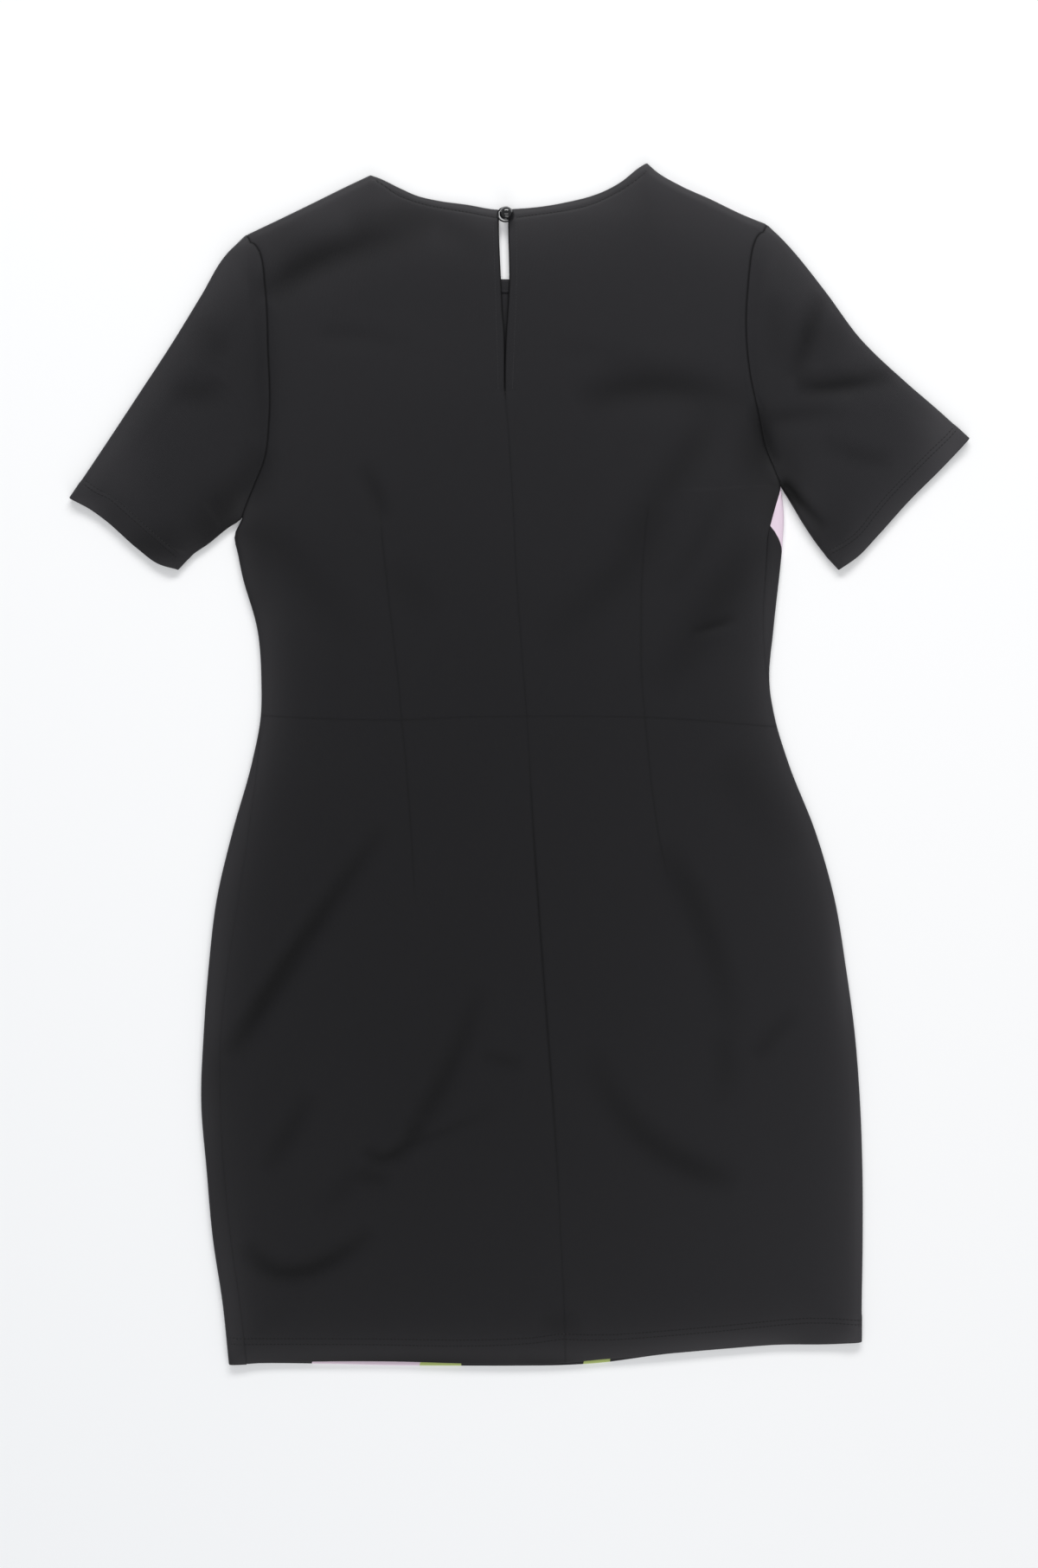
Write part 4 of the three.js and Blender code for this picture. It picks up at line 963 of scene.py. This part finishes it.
def floor_look():
    """Matt white board, painted a touch darker and cooler towards the lower left as painted shade, with a faint
    even glow of painted light, as of a lit table, that lifts the shadows on it.
    """
    # painted light: a faint even glow that lifts the shadows on the board
    look = Look("white_board", roughness=0.9, specular_ior_level=0.1, emission_strength=0.14,
                emission_color=(0.95, 0.97, 1.0, 1.0))
    own = look.node("ShaderNodeTexCoord", None, None, 3)
    parts = look.node("ShaderNodeSeparateXYZ", None, {0: own})
    across, up = parts, Value(look, parts.socket.node.outputs[1])
    # painted shade: the board darker and cooler towards the lower left
    painted_floor_shade = ((0.0 - across) * 0.55 + (0.0 - up) * 0.75 + 0.25 + 0.05 * look.noise(2.5, 1.0, own)).clear()
    look.feed("Base Color", look.blend((0.83, 0.83, 0.83, 1), (0.80, 0.81, 0.82, 1), painted_floor_shade))
    return look.material


black_knit, printed_knit = knit("black_double_knit"), knit("printed_double_knit", printed=True)
thread, polished, loop_cord = thread_look(), button_look(), cord_look()


# Panels
def fade_to(tip, y, base):
    """1 along a dart, dying out over its last 25 mm."""
    return np.clip((y - tip) / math.copysign(25, base - tip), 0, 1) * ((y - tip) * (base - tip) > 0)


def back_grid(rows, side):
    """Middle of one half of the back: distances along the rows from the side seam or armhole to the dart
    line and on to the centre, or the other way round on the right."""
    ends = [over(rows, lambda band, t, k=k: upper_ends(band, t)[k]) for k in (0, 1)]
    dart = over(rows, lambda band, t: crossing(band, t, lines[side + "_dart"]))
    centre = over(rows, lambda band, t: crossing(band, t, lines[side + "_centre"]))
    fold = over(rows, lambda band, t: row_length(band, t) + (1e4 if band == "yoke" else 0))
    edge, middle = (ends[0], centre - HALF) if side == "left" else (ends[1], centre + HALF)
    spots = [(edge, 3, 0.9), (dart, 2.5, 1.0), (middle, 3, 0.8), (fold, 5, 1.3)]
    if side == "left":
        w = np.hstack([spread(edge, dart, spots, STEP), spread(dart, middle, spots, STEP)[:, 1:]])
    else:
        w = np.hstack([spread(middle, dart, spots, STEP), spread(dart, edge, spots, STEP)[:, 1:]])
    counts = np.cumsum([0] + [len(t) for _, t in rows])
    at = np.concatenate([body_point(band, t, w[a:b]) for (band, t), a, b in zip(rows, counts, counts[1:])])
    return at, w, np.abs(w - dart)


def back_panel(name, rows, side, tips):
    """Half of the back as a shell: grooves at its seams and along its dart, with painted shade along them, rounded
    where it is turned.
    """
    at, w, dart_away = back_grid(rows, side)
    d = runs(at)
    y = at[..., 1]
    edge, middle = ("start", "end") if side == "left" else ("end", "start")
    bodice = rows[0][0] == "midriff"
    slit = np.clip((y - 268) / 12, 0, 1) if bodice else np.zeros_like(y)
    sharp = 0 if bodice else np.clip((y + 330) / 110, 0, 1) * np.clip((10 - y) / 80, 0, 1)
    base, tip = tips

    def sewn(amounts):
        return (groove(d[edge], np.where(y > armpit_y[side], amounts["armhole"], amounts["side"]))
                + groove(d[middle], mix(mix(amounts["plain"], amounts["centre"], sharp), amounts["slit"], slit))
                + groove(d["bottom"] if bodice else d["top"], amounts["plain"])
                + groove(dart_away, amounts["dart"] * fade_to(tip, y, base)))

    top = WALL / 2 - sewn(GROOVES)
    bottom = np.full_like(top, -WALL / 2)
    if bodice:
        shape = rounded(d["top"]) * mix(1, rounded(d[middle]), slit)
    else:
        shape = rounded(d["bottom"])
        top += doubled(d["bottom"], extra=HEM_STEP)
        bottom = bottom - doubled(d["bottom"])
    # the seams carry painted shade, set by SEAM_SHADES
    piece = cloth(name + "_cloth", at, 1, top * shape, bottom * shape, (w, d["bottom"]), black_knit,
                  [neck_chains[side]] * 2 if bodice else hem_chains, {"seam": sewn(SEAM_SHADES)})
    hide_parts(name)
    return at


rows = band_rows(STEP, False)
skirt_rows = [("skirt", rows["skirt"])]
bodice_rows = [("midriff", rows["midriff"]), ("yoke", rows["yoke"])]
back_panel("back_skirt_left", skirt_rows, "left", (40, -104))
back_panel("back_skirt_right", skirt_rows, "right", (40, -90))
bodice_at = {
    "left": back_panel("back_bodice_left", bodice_rows, "left", (25, 194)),
    "right": back_panel("back_bodice_right", bodice_rows, "right", (25, 202))}

# Front: from side seam to side seam by way of both folded sides, underneath
under_rows = band_rows(UNDER_STEP, True)
under_rows["yoke"] = band_rows(STEP, False)["yoke"]
under_rows["yoke"] = under_rows["yoke"][under_rows["yoke"][:, 0] <= 1]
front_rows = [(band, under_rows[band]) for band in ("skirt", "midriff", "yoke")]


def front_ends(band, t):
    """Where the front starts and ends on each row, in the distances of body_point."""
    length = row_length(band, t)
    if band == "yoke":
        return np.full_like(length, -HALF), HALF - length
    start, end = upper_ends(band, t)
    return start - SEAM_GAP, end + SEAM_GAP - 2 * length


start = over(front_rows, lambda band, t: front_ends(band, t)[0])
end = over(front_rows, lambda band, t: front_ends(band, t)[1])
right_fold = over(front_rows, lambda band, t: -row_length(band, t))
spots = [(start, 2.5, 1.0), (0, 5, 1.2), (right_fold, 5, 1.2), (end, 2.5, 1.0)]
front_w = spread(start, end, spots, UNDER_STEP)
counts = np.cumsum([0] + [len(t) for _, t in front_rows])
front_at = np.concatenate([body_point(band, t, front_w[a:b], front=True)
                           for (band, t), a, b in zip(front_rows, counts, counts[1:])])
d = runs(front_at)
left_x = over(front_rows, lambda band, t: body_row(band, t, True)["left_x"])
flat_x = left_x - front_w - over(front_rows, lambda band, t: start_of_flat(band, body_row(band, t, True))
                                 + np.zeros_like(t))
flat_y = front_at[..., 1]


def block(rows):
    """How far inside a colour block each place of the flat cut lies, negative outside it."""
    low, high = column(rows, "from_")(flat_y), column(rows, "to")(flat_y)
    inside = np.minimum(flat_x - low, high - flat_x)
    return np.minimum(inside, rows["y"][-1] - flat_y)


front_fields = {"pink": block(pink_blocks), "lime": np.maximum(block(lime_sweep), block(lime_leaf)),
                "inside": (d["bottom"] > HEM_DEPTH) * 1.0}
top = WALL / 2 - groove(np.minimum(d["start"], d["end"]), GROOVES["side"])
# painted shade along the side seams
front_fields["seam"] = groove(np.minimum(d["start"], d["end"]), SEAM_SHADES["side"])
shape = rounded(d["bottom"]) * rounded(d["top"])
front = cloth("front_cloth", front_at, -1, top * shape, (-WALL / 2 - doubled(d["bottom"])) * shape,
              (flat_x, flat_y), printed_knit, hem_chains, front_fields)
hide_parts("front")


# Sleeves
def sleeve_outline(tables, side):
    """A sleeve's flat outline: the armhole at a = 0, the cuff at a = 1, the underarm at f = 0 and the folded
    outer edge at f = 1; between them the four edges are blended, less the corners' straight blend."""
    outer, under, cuff = (Path(tables[k]) for k in ("outer", "under", "cuff"))
    arm = arms[side]

    def at(a, f):
        def blend(k):
            corners = mix(mix(arm(0)[k], arm(1)[k], f), mix(cuff(0)[k], cuff(1)[k], f), a)
            return mix(arm(f)[k], cuff(f)[k], a) + mix(under(a)[k], outer(a)[k], f) - corners
        return blend(0), blend(1)
    return at


def ring_sizes(outline, a):
    """Width across the sleeve at a, its fold's radius, the middle's width and half the way round."""
    (x0, y0), (x1, y1) = outline(a, 0.0), outline(a, 1.0)
    width = np.hypot(x1 - x0, y1 - y0)
    radius = mix(CROTCH_ROLL, ROLL, np.minimum(a / CROTCH_SHARE, 1))
    inner = width - WALL
    return width, radius, inner, inner + radius * (math.pi - 2)


def sleeve_point(outline, a, w):
    """Middle of the cloth: w runs from the underarm fold over the upper layer to the outer fold and back
    underneath; the folds are the body's quarter circles."""
    width, radius, inner, length = ring_sizes(outline, a)
    s = np.mod(w, 2 * length)
    upper = s <= length
    r = np.where(upper, s, 2 * length - s)
    turn_in = np.minimum(r / radius, math.pi / 2)
    turn_out = np.minimum((length - r) / radius, math.pi / 2)
    across = np.where(turn_in < math.pi / 2, radius * (1 - np.cos(turn_in)),
                      np.where(turn_out < math.pi / 2, inner - radius * (1 - np.cos(turn_out)),
                               radius + r - radius * math.pi / 2))
    x, y = outline(a, (across + WALL / 2) / width)
    share = (1 + np.where(upper, 1, -1) * np.sin(np.minimum(turn_in, turn_out))) / 2
    return np.stack([x, y, LOWER_LIE + (lift(x, y) - LOWER_LIE) * share], axis=2)


def unit(v):
    return v / np.linalg.norm(v, axis=-1, keepdims=True)


def sleeve(name, tables, side):
    """Sleeve as a tube of rings: the first lies a seam's clearance off the body's armhole edge, and over a
    short way the rings pass from that line's form to the sleeve's own."""
    outline = sleeve_outline(tables, side)
    out = 1 if side == "left" else -1
    yoke_start = len(bodice_rows[0][1]) - 1
    back_at, edge = bodice_at[side], 0 if side == "left" else -1
    back_edge = back_at[yoke_start:, edge]
    back_out = facing_of(back_at, 1, False)[yoke_start:, edge]
    below = counts[2]
    under_edge = front_at[below:, edge][::-1]
    under_out = facing_of(front_at, -1, False)[below:, edge][::-1]
    line, outward = np.concatenate([back_edge, under_edge]), np.concatenate([back_out, under_out])
    upper_count, count = len(back_edge) - 1, len(line)
    inside = np.array(outline(1 / 3, 1 / 3))
    away = SEAM_GAP * unit(np.cross(np.roll(line, -1, axis=0) - np.roll(line, 1, axis=0), outward))
    toward = (away[:, :2] * (inside - line[:, :2])).sum(axis=1)
    away *= np.where(toward < 0, -1, 1)[:, None]
    below_y = armpit_y[side] - CROTCH_RUN / 2
    ends = [outline(0.0, 0.0), outline(CROTCH_SHARE / 2, 0.0),
            ((edge_left if side == "left" else edge_right)(below_y), below_y)]
    armpit, along_sleeve, along_body = (np.array([float(x), float(y), 0.0]) for x, y in ends)
    away[0] = CROTCH_GAP * unit(unit(along_sleeve - armpit) - unit(along_body - armpit))
    first = line + away

    reach = Path(tables["outer"]).length
    a = places(reach, [(0, 3, 0.8), (reach, 2, 0.5), (reach - 13, 6, 2.0)], 2.4)[:, None] / reach
    length = ring_sizes(outline, a)[3]
    folds = [(0, 5, 1.2), (length, 5, 1.2), (2 * length, 5, 1.2)]
    w = np.hstack([spread(np.full_like(length, ARMPIT_START), length, folds, STEP, upper_count)[:, :-1],
                   spread(length, 2 * length + ARMPIT_START, folds, STEP, count - upper_count)[:, :-1]])
    at = sleeve_point(outline, a, w)
    fade = 1 - np.clip(a / 0.075, 0, 1)
    fade = fade * fade * (3 - 2 * fade)
    at = at + (first - at[0]) * fade[..., None]
    d = runs(at)
    top = WALL / 2 - groove(d["bottom"], GROOVES["armhole"]) + doubled(d["top"], 15, HEM_STEP)
    top *= rounded(d["top"])
    bottom = (-WALL / 2 - doubled(d["top"], 15)) * rounded(d["top"])
    turn = np.hstack([w, w[:, :1] + 2 * length])
    # the armhole seam carries painted shade
    piece = cloth(name + "_cloth", at, out, top, bottom, (turn, d["bottom"]), black_knit,
                  cuff_chains[side], {"seam": groove(d["bottom"], SEAM_SHADES["armhole"])}, closed=True)
    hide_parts(name)


sleeve("sleeve_left", left_sleeve, "left")
sleeve("sleeve_right", right_sleeve, "right")


# Small pieces
def strip_facing():
    """Turned strip inside the front neckline: from the neckline's edge inwards, laid on the front."""
    x = places(facing["end"] - facing["start"], [], 2.0) + facing["start"]
    slope = (front_neck_height(x + 0.5) - front_neck_height(x - 0.5))
    lean = np.hypot(1, slope)
    inward = np.array([9.0, 8.6, 8.0, 7.2, 6.0, 4.0, 2.2, 1.0, 0.4, 0.0])[:, None] * facing["width"] / 9
    at = np.stack([x + inward * slope / lean, front_neck_height(x) - 0.4 - inward / lean,
                   np.full((len(inward), len(x)), TOP_RIM + facing["wall"] / 2)], axis=2)
    d = runs(at)
    shape = rounded(d["bottom"]) * rounded(d["top"]) * rounded(d["start"]) * rounded(d["end"])
    stitched = 0.3 * np.exp(-((inward - 7.6) / 0.8) ** 2)
    piece = cloth("front_neck_strip", at, 1, (facing["wall"] / 2 - stitched) * shape,
                  -facing["wall"] / 2 * shape, (x + 0 * inward, inward + 0 * x), black_knit,
                  hem_chains, {})
    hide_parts("front_neck_facing")


def tube(name, path, radius, sides, material):
    """Closed ring of cord: a circle carried round a closed path, its cross made of the path's direction and
    the upright."""
    ahead = unit(np.roll(path, -1, axis=0) - np.roll(path, 1, axis=0))
    beside = unit(np.cross(ahead, [0, 0, 1]))
    over_it = np.cross(beside, ahead)
    angle = np.linspace(0, 2 * math.pi, sides, endpoint=False)[None, :, None]
    points = path[:, None] + radius * (beside[:, None] * np.cos(angle) + over_it[:, None] * np.sin(angle))
    n = len(path)
    i, k = np.meshgrid(np.arange(n), np.arange(sides), indexing="ij")
    i, k = i.ravel(), k.ravel()
    ahead_i, next_k = (i + 1) % n, (k + 1) % sides
    quads = np.stack([i * sides + k, i * sides + next_k, ahead_i * sides + next_k, ahead_i * sides + k], axis=1)
    pace = np.linalg.norm(np.roll(path, -1, axis=0) - path, axis=1).mean()
    cut = np.stack([np.stack([i, i, i + 1, i + 1], axis=1) * pace,
                    np.stack([k, k + 1, k + 1, k], axis=1) * (2 * math.pi * radius / sides)], axis=2)
    return new_piece(name, new_mesh(name, points.reshape(-1, 3), quads, cut.reshape(-1, 2)), material)


def button_ball():
    """Ball on a short shank, turned about its upright axis: a profile of radius against height, carried
    round in 56 steps, with a slightly flattened crown."""
    start = math.asin(button["shank"] / button["radius"])
    angle = np.linspace(start, math.pi - 0.02, 34)
    r = button["radius"] * np.sin(angle)
    z = -button["radius"] * np.cos(angle)
    foot = button["shank_end"] - button["z"]
    r = np.concatenate([[0.02, button["shank"] * 0.9, button["shank"], button["shank"]], r])
    z = np.concatenate([[foot, foot, foot + 0.15, z[0] - 0.25], z])
    turn = np.linspace(0, 2 * math.pi, 56, endpoint=False)
    points = np.stack([button["x"] + r[:, None] * np.cos(turn), button["y"] + r[:, None] * np.sin(turn),
                       button["z"] + z[:, None] + 0 * turn], axis=2).reshape(-1, 3)
    j, i = np.meshgrid(np.arange(len(r) - 1), np.arange(56), indexing="ij")
    j, i = j.ravel(), i.ravel()
    n = (i + 1) % 56
    quads = np.stack([j * 56 + i, j * 56 + n, (j + 1) * 56 + n, (j + 1) * 56 + i], axis=1)
    k = np.arange(0, 54, 2)
    last = (len(r) - 1) * 56
    quads = np.concatenate([quads, np.stack([last + 0 * k, last + k + 1, last + k + 2, last + k + 3], axis=1),
                            np.stack([0 * k, k + 3, k + 2, k + 1], axis=1)])
    piece = new_piece("ball_button", new_mesh("ball_button", points, quads), polished)
    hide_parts("button")


def loop_ring():
    """Loop: an ellipse round the foot of the ball that dips towards the left corner of the slit."""
    angle = np.linspace(0, 2 * math.pi, 72, endpoint=False)
    x = loop["x"] + loop["long"] * np.cos(angle)
    y = loop["y"] + loop["wide"] * np.sin(angle)
    dip = 0.9 * np.exp(-((np.mod(angle, 2 * math.pi) - math.pi * 0.94) / 0.5) ** 2)
    path = np.stack([x, y, loop["z"] - dip], axis=1)
    piece = tube("cord_loop", path, loop["radius"] * 0.8, 10, loop_cord)
    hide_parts("button_loop")


strip_facing()
button_ball()
loop_ring()


# Stitching
def stitches(name, runs_of_path, pitch=STITCH, radius=THREAD, sink=0.06, share=0.8):
    """Rows of small rounded stitches: along each path, one every pitch, each a six-sided spindle with five
    stations whose radius swells from its two ends, and whose ends dip into the cloth."""
    all_points, all_quads, made = [], [], 0
    stations = np.array([-1, -0.72, 0, 0.72, 1.0])
    swell = np.array([0.3, 0.85, 1.0, 0.85, 0.3]) * radius
    dip = np.array([-0.22, -0.04, 0, -0.04, -0.22]) - sink
    angle = np.linspace(0, 2 * math.pi, 6, endpoint=False)
    for path, up in runs_of_path:
        run = np.concatenate([[0], np.cumsum(np.linalg.norm(np.diff(path, axis=0), axis=1))])
        count = int(run[-1] // pitch)
        middle = (np.arange(count) + 0.5) * run[-1] / count
        s = middle[:, None] + stations * pitch * share / 2
        at = np.stack([np.interp(s, run, path[:, k]) for k in range(3)], axis=2)
        ahead = unit(at[:, -1] - at[:, 0])
        beside = unit(np.cross(ahead, up))
        over_it = np.cross(beside, ahead)
        centre = at + over_it[:, None] * dip[:, None]
        ring = (centre[:, :, None] + swell[:, None, None] * (
            beside[:, None, None] * np.cos(angle)[:, None] + over_it[:, None, None] * np.sin(angle)[:, None]))
        j, k = np.meshgrid(np.arange(4), np.arange(6), indexing="ij")
        j, k = j.ravel(), k.ravel()
        n = (k + 1) % 6
        wall = np.stack([j * 6 + k, (j + 1) * 6 + k, (j + 1) * 6 + n, j * 6 + n], axis=1)
        caps = np.array([[0, 1, 2, 3], [3, 4, 5, 0], [27, 26, 25, 24], [24, 29, 28, 27]])
        one = np.concatenate([wall, caps])
        all_points.append(ring.reshape(-1, 3))
        all_quads.append((one + 30 * np.arange(count)[:, None, None]).reshape(-1, 4) + made)
        made += 30 * count
    mesh = new_mesh(name, np.concatenate(all_points), np.concatenate(all_quads))
    return new_piece(name, mesh, thread)


UP, DOWN = np.array([0, 0, 1.0]), np.array([0, 0, -1.0])


def upper_line(x, y, height=WALL / 2):
    """A line on the outside of the upper layer."""
    return np.stack([x, y, lift(x, y) + height], axis=1), UP


def under_line(x, y):
    """A line on the outside of the layer underneath."""
    return np.stack([x, y, np.full_like(x, 0.05)], axis=1), DOWN


stitches("hem_stitching", [upper_line(*r) for r in hem_rows]
         + [under_line(x[x < 246], y[x < 246] - 0.6) for x, y in hem_rows])
for side, pair in cuff_rows.items():
    stitches(f"cuff_stitching_{side}", [upper_line(*r) for r in pair] + [under_line(*r) for r in pair])
stitches("neck_stitching", [upper_line(*r) for r in neck_rows.values()], NECK_STITCH)
neck_x = np.linspace(-92, 76, 220)
lean = (front_neck_height(neck_x + 0.5) - front_neck_height(neck_x - 0.5))
size = np.hypot(1, lean)
stitches("front_neck_stitching",
         [under_line(neck_x + 8 * lean / size, front_neck_height(neck_x) - 8 / size)], NECK_STITCH)
on_strip = (neck_x > facing["start"]) & (neck_x < facing["end"])
strip_x, strip_lean, strip_size = neck_x[on_strip], lean[on_strip], size[on_strip]
strip_path = np.stack([strip_x + 7.6 * strip_lean / strip_size,
                       front_neck_height(strip_x) - 0.4 - 7.6 / strip_size,
                       np.full_like(strip_x, TOP_RIM + facing["wall"] - 0.25)], axis=1)
stitches("strip_stitching", [(strip_path, UP)], NECK_STITCH)
stitches("slit_stitching", [upper_line(*r) for r in slit_rows.values()], NECK_STITCH)
bar_x, bar_y = on_path(bartack)
stitches("bartack", [upper_line(bar_x, bar_y + k, WALL / 2 - 0.05) for k in (-0.3, 0.3)], 1.4, THREAD, 0.0, 1.1)

# Room
size = 9000.0
ground = np.array([[-size, -size, -0.3], [size, -size, -0.3], [size, size, -0.3], [-size, size, -0.3]])
floor_mesh = new_mesh("floor", ground, np.array([[0, 1, 2, 3]]))
floor_mesh.materials.append(floor_look())
floor = bpy.data.objects.new("floor", floor_mesh)
bpy.context.scene.collection.objects.link(floor)


def softbox(name, place, aim, width, depth, power, tone=(1, 1, 1)):
    """Rectangular lamp at place, turned to face aim."""
    data = bpy.data.lights.new(name, "AREA")
    data.shape, data.size, data.size_y, data.energy, data.color = "RECTANGLE", width, depth, power, tone
    lamp = bpy.data.objects.new(name, data)
    bpy.context.scene.collection.objects.link(lamp)
    lamp.location = place
    direction = np.array(aim) - np.array(place)
    tilt = math.atan2(-direction[1], -direction[2])
    lamp.rotation_euler = (-tilt, math.atan2(-direction[0], -direction[2]), 0)
    lamp.visible_camera = False


softbox("lamp_head_end", (0.25, 2.9, 2.1), (0, 0, 0), 3.2, 1.0, 92)
softbox("lamp_overhead", (0.15, -0.62, 2.5), (0, 0, 0), 3.4, 0.7, 17)
softbox("lamp_foot_end", (0.8, -4.4, 2.3), (0, -0.3, 0), 5.0, 2.6, 72)

world = bpy.data.worlds.new("studio")
world.use_nodes = True
world.node_tree.nodes["Background"].inputs[0].default_value = (0.97, 0.98, 1.0, 1)
world.node_tree.nodes["Background"].inputs[1].default_value = 0.34
bpy.context.scene.world = world
bpy.context.scene.view_settings.view_transform = "Standard"

# Camera straight above, with the photograph's frame: 0.64 mm to a pixel, 1200 by 1812 pixels
SCALE, WIDE, HIGH, LENS, SENSOR = 0.64, 1200, 1812, 60.0, 36.0
camera_data = bpy.data.cameras.new("above")
camera_data.lens, camera_data.sensor_width = LENS, SENSOR
camera = bpy.data.objects.new("above", camera_data)
bpy.context.scene.collection.objects.link(camera)
camera.location = ((WIDE / 2 - 600.5) * SCALE * MM, (883 - HIGH / 2) * SCALE * MM,
                   HIGH * SCALE * MM * LENS / SENSOR + 0.003)
bpy.context.scene.camera = camera
